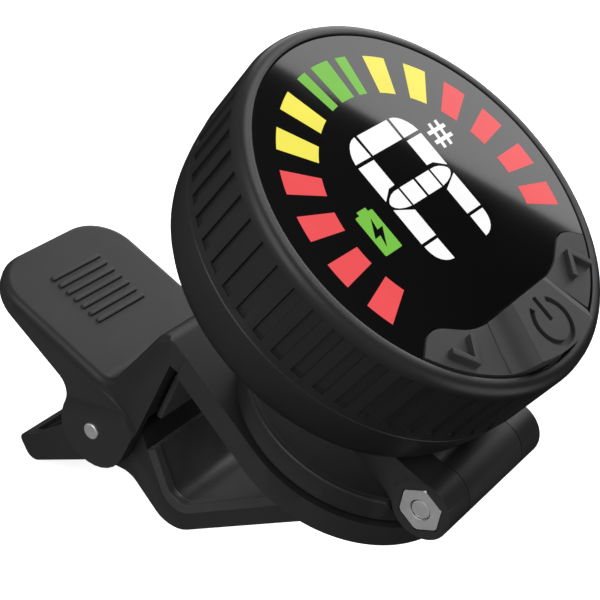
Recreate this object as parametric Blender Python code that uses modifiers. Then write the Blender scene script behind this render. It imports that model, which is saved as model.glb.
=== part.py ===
"""A clip-on tuner: a round display head on a hinge and a swivel, carried by a sprung clip.

Frame: metres, +Z along the swivel axis and away from the instrument, +X along the hinge barrel
and the clip's pin, +Y towards the thumb lever. The origin is on the swivel axis, at the face of
the upper grip pad, where the clip sits on a headstock.
"""

import math

import bmesh
import bpy
from mathutils import Matrix, Vector

MM = 0.001
FIT = 0.1 * MM  # gap between fixed pieces
PLAY = 0.25 * MM  # gap between moving pieces
ROUND_SIDES = 72
SMALL_SIDES = 24
HOLE_SIDES = 16
ARC_STEP = math.radians(15)

# Upper jaw: a round plate under the swivel, a ramp down to the thumb lever, and two cheeks.
PAD_THICKNESS = 0.7 * MM
PLATE_BOTTOM = 0.8 * MM
PLATE_TOP = 3.7 * MM
PLATE_RADIUS = 13.1 * MM
CLIP_HALF_WIDTH = 9.2 * MM
CHEEK_WALL = 1.4 * MM
ARM_END_Y = 16.6 * MM
RIDGE_Y = 18.6 * MM
RAMP_FOOT_Y = 21.8 * MM
LEVER_TOP = -7.6 * MM
LEVER_WALL = 1.6 * MM
LEVER_END_Y = 40.4 * MM
LEVER_END_BOTTOM = -9.0 * MM
LEVER_CORNER = 5.0 * MM
SKIRT_END_BOTTOM = -11.95 * MM
MOUTH_BACK_Y = 16.4 * MM
BACK_STOP_BOTTOM = -8.4 * MM
BACK_STOP_WALL = 1.4 * MM

# Pivot of the clip.
PIN_Y = 21.3 * MM
PIN_Z = -14.6 * MM
PIN_RADIUS = 0.95 * MM
BOSS_RADIUS = 4.3 * MM
HUB_RADIUS = 3.6 * MM
SPRING_WIRE = 0.4 * MM
SPRING_RADIUS = 1.9 * MM
SPRING_TURNS = 4
SPRING_PITCH = 1.0 * MM

# Lower jaw: a hooked arm in front of the pivot and a short hollow lever behind it. Its side view is
# given as (y, z, corner radius) in mm.
JAW_HALF_WIDTH = CLIP_HALF_WIDTH - CHEEK_WALL - PLAY
JAW_PAD = 1.3
JAW_HOOK = ((16.9, -11.2, 1.0), (9.8, -17.95, 3.5), (-2.6, -1.5, 0))
JAW_BACK = ((-5.0, -1.5, 0), (9.0, -19.9, 3.2), (16.0, -17.3, 2.0), (19.4, -18.7, 1.5))
SHORT_LEVER = ((27.4, -27.6, 1.2), (30.0, -25.6, 1.2), (28.4, -24.0, 0.3), (24.5, -17.4, 0))
TRAY = ((22.7, -20.4), (27.56, -25.83), (31.5, -22.8), (28.0, -14.0), (24.4, -16.5))
TRAY_WALL = 1.3 * MM
SPRING_BAY = ((18.4, -5.0), (18.4, -16.0), (19.2, -16.5), (23.2, -21.0), (26.0, -21.0), (30.0, -5.0))
SPRING_BAY_HALF = 3.6 * MM

# Swivel disc: a shallow dish that turns on the plate and carries the middle hinge knuckle.
DISC_RADIUS = 12.65 * MM
DISC_BOTTOM = PLATE_TOP + PLAY
DISC_TOP = 6.6 * MM
DISC_WALL = 0.7 * MM
DISC_FLOOR = 1.1 * MM
SPINDLE_RADIUS = 3.6 * MM
RETAINER_RADIUS = 5.9 * MM
RETAINER_THICKNESS = 0.75 * MM
POCKET_DEPTH = 1.0 * MM
SCREW_RADIUS = 0.75 * MM

# Hinge between the disc and the head.
HINGE_Y = -11.6 * MM
HINGE_Z = 8.3 * MM
HINGE_RADIUS = 3.05 * MM
HINGE_HALF_LENGTH = 8.57 * MM
KNUCKLE_HALF_LENGTH = 4.86 * MM
EAR_INNER = 4.96 * MM
HINGE_SCREW_RADIUS = 1.0 * MM
HINGE_HEAD_RADIUS = 1.9 * MM
HINGE_HEAD_DEPTH = 1.4 * MM
NUT_ACROSS_FLATS = 4.0 * MM
NUT_THICKNESS = 1.6 * MM
NUT_TURN = math.radians(14)
HEAD_TILT = math.radians(13.2)

# Head, in its own frame: Y up the display, Z out of it, both from the hinge axis.
HEAD_Y = 20.7 * MM
REAR_Z = 2.2 * MM
SPLIT_Z = 8.0 * MM
LENS_Z = 16.75 * MM
LENS_THICKNESS = 1.0 * MM
LENS_RADIUS = 17.9 * MM
CASE_INNER = 18.0 * MM
SHELF_RADIUS = 17.1 * MM
FLOOR_THICKNESS = 1.2 * MM
RIB_COUNT = 54
SLOT_DEPTH = 0.35 * MM
SLOT_BOTTOM = 9.0 * MM
SLOT_TOP = 15.8 * MM
CASE_SCREW_CIRCLE = 16.2 * MM
CASE_SCREW_ANGLES = (0, 120, 240)
PILLAR_RADIUS = 1.9 * MM
PORT_SIZE = (7.2 * MM, 8.9 * MM, 3.2 * MM)
PORT_Z = 5.2 * MM

# Keypad: three keys in the lower part of the display.
KEY_BOTTOM = 16.05 * MM
KEY_TOP = 17.0 * MM
POWER_TOP = 18.5 * MM
KEY_RADIUS = 17.7 * MM
KEY_SPLIT = math.radians(24)
KEY_FLAT = math.radians(14.3)
KEY_END = math.radians(53.2)
KEY_EDGE = ((12.2, -9.1, 0.9), (10.7, -9.1, 1.5), (6.9, -11.38, 4.0))  # (x, y, corner radius) in mm
KEY_GAP = 0.12 * MM
KEY_PLACES = {"down": (-9.9, -12.1), "power": (0, -14.6), "up": (9.9, -12.1)}  # in mm
KEY_TRAVEL = 0.35 * MM
STEM_RADIUS = 1.1 * MM

# Stack inside the head, each as (bottom, top) along the head's Z.
BOARD = (6.9 * MM, 7.9 * MM)
DOME = (8.0 * MM, 8.7 * MM)
BATTERY_PAD = (8.0 * MM, 8.4 * MM)
BATTERY = (8.5 * MM, 12.5 * MM)
LIGHT_GUIDE = (12.9 * MM, 13.9 * MM)
PANEL = (14.05 * MM, 15.45 * MM)
PIEZO = (3.5 * MM, 4.0 * MM)
BATTERY_SIZE = (22 * MM, 20 * MM)
PANEL_RADIUS = 16.6 * MM
PANEL_CHORD = -8.6 * MM


# ---------------------------------------------------------------- scene, materials, helpers

def clear_scene():
    for obj in list(bpy.data.objects):
        bpy.data.objects.remove(obj, do_unlink=True)


def new_collection(name):
    collection = bpy.data.collections.new(name)
    bpy.context.scene.collection.children.link(collection)
    return collection


clear_scene()
PARTS = new_collection("clip_on_tuner")
CUTTERS = new_collection("cutters")


def finish(name, colour, roughness, metallic=0.0, transmission=0.0):
    material = bpy.data.materials.new(name)
    material.use_nodes = True
    shader = material.node_tree.nodes["Principled BSDF"]
    shader.inputs["Base Color"].default_value = (*colour, 1)
    shader.inputs["Roughness"].default_value = roughness
    shader.inputs["Metallic"].default_value = metallic
    shader.inputs["Transmission Weight"].default_value = transmission
    return material


CASE_PLASTIC = ("black_case_plastic", (0.035, 0.035, 0.036), 0.5)
CLIP_PLASTIC = ("black_clip_plastic", (0.03, 0.03, 0.031), 0.45)
RUBBER = ("grip_rubber", (0.02, 0.02, 0.02), 0.7)
KEY_RUBBER = ("key_rubber", (0.06, 0.06, 0.062), 0.55)
STEEL = ("bright_steel", (0.8, 0.8, 0.8), 0.25, 1.0)
SPRING_STEEL = ("spring_steel", (0.5, 0.5, 0.52), 0.3, 1.0)
LENS_GLASS = ("smoked_lens", (0.01, 0.01, 0.01), 0.05)
PANEL_GLASS = ("display_glass", (0.05, 0.06, 0.06), 0.15)
GUIDE_ACRYLIC = ("light_guide_acrylic", (0.9, 0.9, 0.9), 0.2)
BOARD_GREEN = ("circuit_board", (0.01, 0.12, 0.04), 0.4)
FOIL = ("battery_foil", (0.6, 0.6, 0.62), 0.35, 0.9)
FOAM = ("grey_foam", (0.2, 0.2, 0.2), 0.9)
BRASS = ("sensor_brass", (0.7, 0.5, 0.2), 0.3, 1.0)
DOME_STEEL = ("dome_steel", (0.75, 0.75, 0.72), 0.25, 1.0)


def add_object(name, mesh, look=None, parent=None):
    """A part when it has a look, and a hidden cutter when it has none."""
    obj = bpy.data.objects.new(name, mesh)
    obj.parent = parent
    if look:
        PARTS.objects.link(obj)
        mesh.materials.append(finish(f"{name}_{look[0]}", *look[1:]))
    else:
        CUTTERS.objects.link(obj)
        obj.hide_render = True
        obj.display_type = "WIRE"
    return obj


def add_empty(name, location, tilt=0.0):
    empty = bpy.data.objects.new(name, None)
    empty.location = location
    empty.rotation_euler.x = tilt
    PARTS.objects.link(empty)
    return empty


def round_off(corners, unit=MM):
    """The points of an outline whose corners, given as (x, y, radius), are made round by arcs."""
    points = []
    for i, (x, y, radius) in enumerate(corners):
        here = Vector((x, y)) * unit
        if not radius:
            points.append(here)
            continue
        before = (Vector(corners[i - 1][:2]) * unit - here).normalized()
        after = (Vector(corners[(i + 1) % len(corners)][:2]) * unit - here).normalized()
        half = before.angle(after) / 2
        centre = here + (before + after).normalized() * (radius * unit / math.sin(half))
        start = here + before * (radius * unit / math.tan(half)) - centre
        turn = (math.pi - 2 * half) * (1 if before.x * after.y - before.y * after.x < 0 else -1)
        steps = max(2, math.ceil(abs(turn) / ARC_STEP))
        for step in range(steps + 1):
            points.append(centre + Matrix.Rotation(turn * step / steps, 2) @ start)
    return points


def arc(radius, first, last, steps, centre=(0, 0)):
    """Points on a circle, with both angles in radians from +X."""
    angles = [first + (last - first) * i / steps for i in range(steps + 1)]
    return [Vector(centre) + radius * Vector((math.cos(a), math.sin(a))) for a in angles]


def offset_path(corners, distance):
    """An open path of (x, y, radius) corners in mm, moved sideways to its left by distance in mm."""
    spots = [Vector(corner[:2]) for corner in corners]
    sides = [Vector((a.y - b.y, b.x - a.x)).normalized() for a, b in zip(spots, spots[1:])]
    moved = []
    for i, (spot, corner) in enumerate(zip(spots, corners)):
        before = sides[max(i - 1, 0)]
        after = sides[min(i, len(sides) - 1)]
        place = spot + (before + after) * (distance / (1 + before.dot(after)))
        turn = before.x * after.y - before.y * after.x
        radius = corner[2] - math.copysign(distance, turn) if corner[2] else 0
        moved.append((*place, radius))
    return moved


def meshed(curve_object):
    """The curve object as a mesh with welded caps, which a Boolean can take."""
    bpy.context.scene.collection.objects.link(curve_object)
    bpy.context.view_layer.update()
    graph = bpy.context.evaluated_depsgraph_get()
    mesh = bpy.data.meshes.new_from_object(curve_object.evaluated_get(graph))
    mesh.transform(curve_object.matrix_world)
    bpy.data.objects.remove(curve_object, do_unlink=True)
    cage = bmesh.new()
    cage.from_mesh(mesh)
    bmesh.ops.remove_doubles(cage, verts=cage.verts, dist=1e-6)
    bmesh.ops.recalc_face_normals(cage, faces=cage.faces)
    cage.to_mesh(mesh)
    cage.free()
    return mesh


def slab(points, low, high, along="Z"):
    """A flat outline given a thickness from low to high. Along X, the outline lies in Y and Z."""
    curve = bpy.data.curves.new("outline", "CURVE")
    curve.dimensions = "2D"
    curve.fill_mode = "BOTH"
    curve.extrude = (high - low) / 2
    spline = curve.splines.new("POLY")
    spline.points.add(len(points) - 1)
    for point, spot in zip(spline.points, points):
        point.co = (spot.x, spot.y, 0, 1)
    spline.use_cyclic_u = True
    holder = bpy.data.objects.new("outline", curve)
    middle = (low + high) / 2
    if along == "Z":
        holder.location.z = middle
    else:
        holder.rotation_euler = (math.pi / 2, 0, math.pi / 2)
        holder.location.x = middle
    return meshed(holder)


def rod(start, end, radius, sides=SMALL_SIDES, tip_radius=None, turn=0.0):
    """A cylinder or cone between two points."""
    start, end = Vector(start), Vector(end)
    cage = bmesh.new()
    bmesh.ops.create_cone(
        cage, cap_ends=True, segments=sides, depth=(end - start).length,
        radius1=radius, radius2=radius if tip_radius is None else tip_radius,
    )
    place = (end - start).to_track_quat("Z", "Y").to_matrix().to_4x4()
    place = Matrix.Translation((start + end) / 2) @ place @ Matrix.Rotation(turn, 4, "Z")
    bmesh.ops.transform(cage, matrix=place, verts=cage.verts)
    mesh = bpy.data.meshes.new("rod")
    cage.to_mesh(mesh)
    cage.free()
    mesh.shade_smooth()
    mesh.set_sharp_from_angle(angle=math.radians(40))
    return mesh


def block(low, high):
    cage = bmesh.new()
    bmesh.ops.create_cube(cage, size=1)
    low, high = Vector(low), Vector(high)
    bmesh.ops.scale(cage, vec=high - low, verts=cage.verts)
    bmesh.ops.translate(cage, vec=(low + high) / 2, verts=cage.verts)
    mesh = bpy.data.meshes.new("block")
    cage.to_mesh(mesh)
    cage.free()
    return mesh


def turned(name, profile, look=None, parent=None, sides=ROUND_SIDES, centre=(0, 0)):
    """A profile of (radius, z) points, running down the outer side, turned about Z."""
    closed = min(radius for radius, _ in profile) > 0
    mesh = bpy.data.meshes.new(name)
    count = len(profile)
    edges = [(i, (i + 1) % count) for i in range(count if closed else count - 1)]
    mesh.from_pydata([(radius, 0, z) for radius, z in profile], edges, [])
    obj = add_object(name, mesh, look, parent)
    obj.location = (*centre, 0)
    screw = obj.modifiers.new("turn", "SCREW")
    screw.axis = "Z"
    screw.steps = screw.render_steps = sides
    screw.use_merge_vertices = True
    screw.merge_threshold = 1e-5
    screw.use_smooth_shade = True
    return obj


def combine(target, other, operation):
    modifier = target.modifiers.new(f"{operation.lower()}_{other.name}", "BOOLEAN")
    modifier.operation = operation
    modifier.solver = "EXACT"
    modifier.object = other
    return target


def cut(target, mesh, label):
    return combine(target, add_object(f"{target.name}_{label}", mesh, parent=target.parent), "DIFFERENCE")


def join(target, mesh, label):
    return combine(target, add_object(f"{target.name}_{label}", mesh, parent=target.parent), "UNION")


def polar(radius, degrees):
    """A point in the head's plane, with the angle clockwise from the top of the display."""
    angle = math.radians(degrees)
    return Vector((radius * math.sin(angle), radius * math.cos(angle)))


# ---------------------------------------------------------------- clip

def side_outline():
    """Side view of the upper jaw: plate, ramp, lever, skirt, boss and the mouth's back."""
    front = -PLATE_RADIUS / MM - 1
    boss_back = (PIN_Y + BOSS_RADIUS) / MM
    outline = round_off([
        (front, PLATE_BOTTOM / MM, 0),
        (front, PLATE_TOP / MM, 0),
        (RIDGE_Y / MM, PLATE_TOP / MM, 1.4),
        (RAMP_FOOT_Y / MM, LEVER_TOP / MM, 1.4),
        (LEVER_END_Y / MM + 1, LEVER_TOP / MM, 0),
        (LEVER_END_Y / MM + 1, LEVER_END_BOTTOM / MM + 0.4, 0),
        (boss_back, SKIRT_END_BOTTOM / MM, 2.0),
        (boss_back, PIN_Z / MM, 0),
    ])
    boss = arc(BOSS_RADIUS, 0, -math.pi, 12, (PIN_Y, PIN_Z))
    return outline[:-1] + boss + [Vector((MOUTH_BACK_Y, PLATE_BOTTOM))]


def plan_outline(inset=0.0):
    """Top view of the upper jaw: the plate's circle drawn out by its tangents into the lever."""
    half, end = CLIP_HALF_WIDTH - inset, LEVER_END_Y - inset
    corner = Vector((half, ARM_END_Y))
    radius = PLATE_RADIUS - inset
    tangent = math.atan2(corner.y, corner.x) - math.acos(radius / corner.length)
    front = arc(radius, tangent, -math.pi - tangent, ROUND_SIDES - 12)
    bend = LEVER_CORNER - inset
    corners = [(-half, ARM_END_Y, 0), (-half, end, bend), (half, end, bend), (half, ARM_END_Y, 0)]
    return front + round_off(corners, 1)


def make_upper_jaw():
    body_mesh = slab(side_outline(), -PLATE_RADIUS - MM, PLATE_RADIUS + MM, "X")
    jaw = add_object("upper_jaw", body_mesh, CLIP_PLASTIC)
    plan = add_object("upper_jaw_plan", slab(plan_outline(), -30 * MM, 10 * MM))
    combine(jaw, plan, "INTERSECT")

    inner_half = CLIP_HALF_WIDTH - CHEEK_WALL
    roof = LEVER_TOP - LEVER_WALL
    stop_back = MOUTH_BACK_Y + BACK_STOP_WALL
    hollow = [Vector(spot) for spot in (
        (10 * MM, -30 * MM), (10 * MM, BACK_STOP_BOTTOM), (stop_back, BACK_STOP_BOTTOM),
        (stop_back, -0.6 * MM), (stop_back + 0.6 * MM, -0.6 * MM), (RAMP_FOOT_Y - MM, roof),
        (50 * MM, roof), (50 * MM, -30 * MM),
    )]
    hollow_cutter = add_object("upper_jaw_hollow", slab(hollow, -inner_half, inner_half, "X"))
    end_room = add_object("upper_jaw_hollow_plan", slab(plan_outline(CHEEK_WALL), -40 * MM, 9 * MM))
    combine(hollow_cutter, end_room, "INTERSECT")
    combine(jaw, hollow_cutter, "DIFFERENCE")

    bore = SPINDLE_RADIUS + PLAY
    cut(jaw, rod((0, 0, -5 * MM), (0, 0, 9 * MM), bore, 48), "spindle_bore")
    pocket = RETAINER_RADIUS + PLAY
    pocket_top = PLATE_BOTTOM + POCKET_DEPTH
    cut(jaw, rod((0, 0, -5 * MM), (0, 0, pocket_top), pocket, 48), "retainer_pocket")
    reach = 2 * CLIP_HALF_WIDTH
    hole = rod((-reach, PIN_Y, PIN_Z), (reach, PIN_Y, PIN_Z), PIN_RADIUS + 0.05 * MM)
    cut(jaw, hole, "pin_hole")
    return jaw


def make_upper_pad():
    """One rubber liner, bent from under the plate down the back stop."""
    face = MOUTH_BACK_Y / MM - 0.8
    back = MOUTH_BACK_Y / MM - 0.1
    outline = round_off([
        (-10.5, 0, 0.3), (face, 0, 1.0), (face, -8.2, 0.3), (back, -8.2, 0.3),
        (back, PAD_THICKNESS / MM, 0), (-10.5, PAD_THICKNESS / MM, 0),
    ])
    return add_object("upper_pad", slab(outline, -7.2 * MM, 7.2 * MM, "X"), RUBBER)


def about_pin(mesh):
    """Moves a mesh drawn in place so that its origin is on the pin's axis."""
    mesh.transform(Matrix.Translation((0, -PIN_Y, -PIN_Z)))
    return mesh


def make_lower_jaw(pivot):
    corners = round_off([*JAW_HOOK, *JAW_BACK, *SHORT_LEVER, (21.3, -11.0, 0)])[:-1]
    hub = arc(HUB_RADIUS, math.radians(-35), math.radians(115), 12, (PIN_Y, PIN_Z))
    half = JAW_HALF_WIDTH
    jaw = add_object("lower_jaw", about_pin(slab(corners + hub, -half, half, "X")), CLIP_PLASTIC, pivot)
    tray_half = half - TRAY_WALL
    tray = slab([Vector(spot) * MM for spot in TRAY], -tray_half, tray_half, "X")
    cut(jaw, about_pin(tray), "tray")
    hole = rod((-20 * MM, PIN_Y, PIN_Z), (20 * MM, PIN_Y, PIN_Z), PIN_RADIUS + PLAY)
    cut(jaw, about_pin(hole), "pin_hole")
    bay = slab([Vector(spot) * MM for spot in SPRING_BAY], -SPRING_BAY_HALF, SPRING_BAY_HALF, "X")
    cut(jaw, about_pin(bay), "spring_bay")
    return jaw


def make_lower_pad(pivot):
    """A rubber liner that follows the hook of the lower jaw at an even thickness."""
    path = ((15.4, -12.63, 0), JAW_HOOK[1], (-2.3, -1.88, 0))
    under = round_off([*offset_path(path, -FIT / MM), (0, 0, 0)])[:-1]
    over = round_off([*offset_path(path, -JAW_PAD), (0, 0, 0)])[:-1]
    mesh = slab(under + over[::-1], -JAW_HALF_WIDTH, JAW_HALF_WIDTH, "X")
    return add_object("lower_pad", about_pin(mesh), RUBBER, pivot)


def make_pin():
    reach = CLIP_HALF_WIDTH + 0.05 * MM
    mesh = rod((-reach, PIN_Y, PIN_Z), (reach, PIN_Y, PIN_Z), PIN_RADIUS)
    return add_object("pivot_pin", mesh, STEEL)


def wire(points, radius):
    curve = bpy.data.curves.new("wire", "CURVE")
    curve.dimensions = "3D"
    curve.bevel_depth = radius
    curve.bevel_resolution = 1
    curve.use_fill_caps = True
    spline = curve.splines.new("POLY")
    spline.points.add(len(points) - 1)
    for point, spot in zip(spline.points, points):
        point.co = (*spot, 1)
    return meshed(bpy.data.objects.new("wire", curve))


def around_pin(x, angle, radius=SPRING_RADIUS):
    return Vector((x, radius * math.cos(angle), radius * math.sin(angle)))


def make_spring(pivot):
    """The coil with its lower leg turns with the lower jaw, and the upper leg stays with the lever."""
    steps = 12
    last = math.radians(222)
    coil = []
    for i in range(SPRING_TURNS * steps + 1):
        x = SPRING_PITCH * (i / steps - SPRING_TURNS / 2)
        coil.append(around_pin(x, last - 2 * math.pi * (SPRING_TURNS - i / steps)))
    coil.append(coil[-1] + Vector((0, -math.sin(last), math.cos(last))) * 8 * MM)
    lower = add_object("spring_coil", wire(coil, SPRING_WIRE), SPRING_STEEL, pivot)

    x = -SPRING_PITCH * (SPRING_TURNS / 2 + 1)
    pin = Vector((0, PIN_Y, PIN_Z))
    hook = [around_pin(x, math.radians(a)) + pin for a in range(180, 89, -30)]
    hook.append(pin + Vector((x, 7.0 * MM, LEVER_TOP - LEVER_WALL - SPRING_WIRE - FIT - PIN_Z)))
    upper = add_object("spring_upper_leg", wire(hook, SPRING_WIRE), SPRING_STEEL)
    return lower, upper


# ---------------------------------------------------------------- swivel and hinge

def make_swivel_disc():
    floor = DISC_BOTTOM + DISC_FLOOR
    inner = DISC_RADIUS - DISC_WALL
    spindle_end = PLATE_BOTTOM + POCKET_DEPTH
    profile = [
        (0, floor), (inner, floor), (inner, DISC_TOP), (DISC_RADIUS, DISC_TOP),
        (DISC_RADIUS, DISC_BOTTOM), (SPINDLE_RADIUS, DISC_BOTTOM), (SPINDLE_RADIUS, spindle_end),
        (0, spindle_end),
    ]
    disc = turned("swivel_disc", profile, CLIP_PLASTIC)
    y, z, r = HINGE_Y, HINGE_Z, HINGE_RADIUS
    web = [Vector(p) for p in (
        (y - 1.3 * MM, DISC_BOTTOM + FIT), (y - 2.6 * MM, z - 1.6 * MM), (y, z),
        (y + 2.7 * MM, z - 1.4 * MM), (y + 4.2 * MM, floor), (y + 4.2 * MM, DISC_BOTTOM + FIT),
    )]
    half = KNUCKLE_HALF_LENGTH
    join(disc, slab(web, -half, half, "X"), "web")
    join(disc, rod((-half, y, z), (half, y, z), r, 36), "knuckle")
    outer = HINGE_HALF_LENGTH + 0.6 * MM
    for side, label in ((-1, "near"), (1, "far")):
        clear = rod((side * (half + 0.001 * MM), y, z), (side * outer, y, z), r + PLAY, 36)
        cut(disc, clear, f"{label}_ear_room")
    bore = HINGE_SCREW_RADIUS + FIT
    cut(disc, rod((-20 * MM, y, z), (20 * MM, y, z), bore, HOLE_SIDES), "bore")
    screw_bore = rod((0, 0, 0), (0, 0, DISC_BOTTOM + 0.6 * MM), SCREW_RADIUS + FIT, HOLE_SIDES)
    cut(disc, screw_bore, "screw_bore")
    return disc


def make_retainer():
    top = PLATE_BOTTOM + POCKET_DEPTH - FIT
    bottom = top - RETAINER_THICKNESS
    hole = SCREW_RADIUS + FIT
    profile = [
        (RETAINER_RADIUS, top), (RETAINER_RADIUS, bottom), (2.2 * MM, bottom), (hole, top - 0.1 * MM),
        (hole, top),
    ]
    retainer = turned("swivel_retainer", profile, SPRING_STEEL, sides=48)
    head = bottom + 0.02 * MM
    neck = top - 0.2 * MM
    profile = [
        (0, DISC_BOTTOM + 0.4 * MM), (SCREW_RADIUS, DISC_BOTTOM + 0.4 * MM), (SCREW_RADIUS, neck),
        (1.8 * MM, head), (0.5 * MM, head), (0.5 * MM, head + 0.4 * MM), (0, head + 0.4 * MM),
    ]
    screw = turned("swivel_screw", profile, STEEL, sides=SMALL_SIDES)
    return retainer, screw


def ear_outline():
    """Side view of an ear, in the head's frame: the barrel and its arm along the rear cover."""
    r = HINGE_RADIUS / MM
    barrel = arc(HINGE_RADIUS, math.radians(80), math.radians(290), 18)
    arm = round_off([
        (1.8, -2.2, 1.5), (3.4, -1.75, 1.5), (9.6, -1.75, 1.5), (10.6, 2.8, 0), (6.2, 2.8, 0),
        (5.2, 1.7, 0.8), (r * 0.3, r * 0.95, 0),
    ])
    return barrel + arm


def make_rear_cover(head):
    floor = REAR_Z + FLOOR_THICKNESS
    outer = ((19.3, 7.9), (19.17, 6.3), (18.93, 4.9), (18.62, 3.6), (18.3, 2.8), (17.9, 2.35))
    profile = [(0, floor), (17.2 * MM, floor), (CASE_INNER - 0.1 * MM, SPLIT_Z - FIT)]
    profile += [(r * MM, z * MM) for r, z in outer]
    profile += [(17.5 * MM, REAR_Z), (0, REAR_Z)]
    cover = turned("rear_cover", profile, CASE_PLASTIC, head, centre=(0, HEAD_Y))
    end = HINGE_HALF_LENGTH
    for side, label in ((-1, "near"), (1, "far")):
        low, high = sorted((side * EAR_INNER, side * end))
        join(cover, slab(ear_outline(), low, high, "X"), f"{label}_ear")
    for index, degrees in enumerate(CASE_SCREW_ANGLES, 1):
        spot = polar(CASE_SCREW_CIRCLE, degrees)
        x, y = spot.x, spot.y + HEAD_Y
        low = REAR_Z + 0.4 * MM
        join(cover, rod((x, y, low), (x, y, SPLIT_Z - FIT), PILLAR_RADIUS), f"pillar_{index}")
        cut(cover, rod((x, y, 0), (x, y, 3.9 * MM), 1.5 * MM), f"head_recess_{index}")
        bore = rod((x, y, 0), (x, y, 10 * MM), 0.95 * MM, HOLE_SIDES)
        cut(cover, bore, f"screw_bore_{index}")
    hinge_bore = HINGE_SCREW_RADIUS + FIT
    cut(cover, rod((-20 * MM, 0, 0), (20 * MM, 0, 0), hinge_bore, HOLE_SIDES), "hinge_bore")
    nut_pocket = NUT_ACROSS_FLATS / 2 / math.cos(math.pi / 6) + FIT
    nut_floor = -end + NUT_THICKNESS + FIT
    pocket = rod((-end - MM, 0, 0), (nut_floor, 0, 0), nut_pocket, 6, turn=NUT_TURN)
    cut(cover, pocket, "nut_pocket")
    recess = rod((end - HINGE_HEAD_DEPTH, 0, 0), (end + MM, 0, 0), HINGE_HEAD_RADIUS + FIT)
    cut(cover, recess, "screw_head_recess")
    width, height = PORT_SIZE[1] / 2 + 0.25 * MM, PORT_SIZE[2] / 2 + 0.25 * MM
    port = round_off([
        (HEAD_Y + width, PORT_Z - height, height * 0.9), (HEAD_Y + width, PORT_Z + height, height * 0.9),
        (HEAD_Y - width, PORT_Z + height, height * 0.9), (HEAD_Y - width, PORT_Z - height, height * 0.9),
    ], 1)
    cut(cover, slab(port, 14 * MM, 25 * MM, "X"), "port_opening")
    return cover


def make_hinge_hardware(head):
    end = HINGE_HALF_LENGTH
    shank_end = -end + 0.1 * MM
    seat = end - HINGE_HEAD_DEPTH + FIT
    profile_head = rod((seat, 0, 0), (end - 0.1 * MM, 0, 0), HINGE_HEAD_RADIUS)
    screw = add_object("hinge_screw", profile_head, STEEL, head)
    shank = rod((shank_end, 0, 0), (seat + 0.5 * MM, 0, 0), HINGE_SCREW_RADIUS, HOLE_SIDES)
    join(screw, shank, "shank")
    socket = rod((end - 0.9 * MM, 0, 0), (end + MM, 0, 0), 0.9 * MM, 6)
    cut(screw, socket, "socket")
    corner = NUT_ACROSS_FLATS / 2 / math.cos(math.pi / 6)
    body = rod((-end + 0.02 * MM, 0, 0), (-end + NUT_THICKNESS, 0, 0), corner, 6, turn=NUT_TURN)
    nut = add_object("hinge_nut", body, STEEL, head)
    bore = rod((-20 * MM, 0, 0), (0, 0, 0), HINGE_SCREW_RADIUS + 0.06 * MM, HOLE_SIDES)
    cut(nut, bore, "bore")
    return screw, nut


# ---------------------------------------------------------------- head

def make_front_casing(head):
    """A deep ring with a rolled front lip, a shelf for the lens, and slots that form grip ribs."""
    inner = CASE_INNER / MM
    shelf = SHELF_RADIUS / MM
    profile = [
        (inner, 16.95), (18.35, 17.15), (18.9, 17.05), (19.3, 16.7), (19.5, SLOT_TOP / MM),
        (19.45, SLOT_BOTTOM / MM), (19.35, SPLIT_Z / MM), (inner, SPLIT_Z / MM),
        (inner, 14.4), (shelf, 14.7), (shelf, 15.65), (inner, 15.65),
    ]
    sides = 2 * RIB_COUNT
    cage = bmesh.new()
    ring = [cage.verts.new((radius * MM, 0, z * MM)) for radius, z in profile]
    loop = [cage.edges.new((a, b)) for a, b in zip(ring, ring[1:] + ring[:1])]
    bmesh.ops.spin(
        cage, geom=loop, cent=(0, 0, 0), axis=(0, 0, 1), angle=2 * math.pi, steps=sides,
        use_merge=True, use_duplicate=False,
    )
    bmesh.ops.remove_doubles(cage, verts=cage.verts, dist=1e-7)
    bmesh.ops.recalc_face_normals(cage, faces=cage.faces)
    middle = (SLOT_BOTTOM + SLOT_TOP) / 2
    band = []
    for face in cage.faces:
        spot = face.calc_center_median()
        on_band = abs(spot.z - middle) < 0.5 * MM and spot.xy.length > CASE_INNER + 0.5 * MM
        step = int(round(math.degrees(math.atan2(spot.x, spot.y)) * sides / 360 - 0.5))
        if on_band and step % 2 == 0:
            band.append(face)
    bmesh.ops.inset_individual(cage, faces=band, thickness=0.07 * MM, depth=-SLOT_DEPTH)
    bmesh.ops.translate(cage, vec=(0, HEAD_Y, 0), verts=cage.verts)
    mesh = bpy.data.meshes.new("front_casing")
    cage.to_mesh(mesh)
    cage.free()
    casing = add_object("front_casing", mesh, CASE_PLASTIC, head)
    for index, degrees in enumerate(CASE_SCREW_ANGLES, 1):
        spot = polar(CASE_SCREW_CIRCLE, degrees)
        x, y = spot.x, spot.y + HEAD_Y
        boss = rod((x, y, SPLIT_Z + 0.02 * MM), (x, y, 12.4 * MM), 1.85 * MM)
        join(casing, boss, f"boss_{index}")
        bore = rod((x, y, 0), (x, y, 11.8 * MM), 0.9 * MM, HOLE_SIDES)
        cut(casing, bore, f"screw_bore_{index}")
    return casing


def make_case_screws(head):
    for index, degrees in enumerate(CASE_SCREW_ANGLES, 1):
        spot = polar(CASE_SCREW_CIRCLE, degrees)
        profile = [
            (0, 11.4), (0.8, 11.4), (0.8, 3.8), (1.4, 3.8), (1.4, 2.7), (0.6, 2.7), (0.6, 3.2), (0, 3.2),
        ]
        turned(
            f"case_screw_{index}", [(r * MM, z * MM) for r, z in profile], STEEL, head,
            SMALL_SIDES, (spot.x, spot.y + HEAD_Y),
        )


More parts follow.
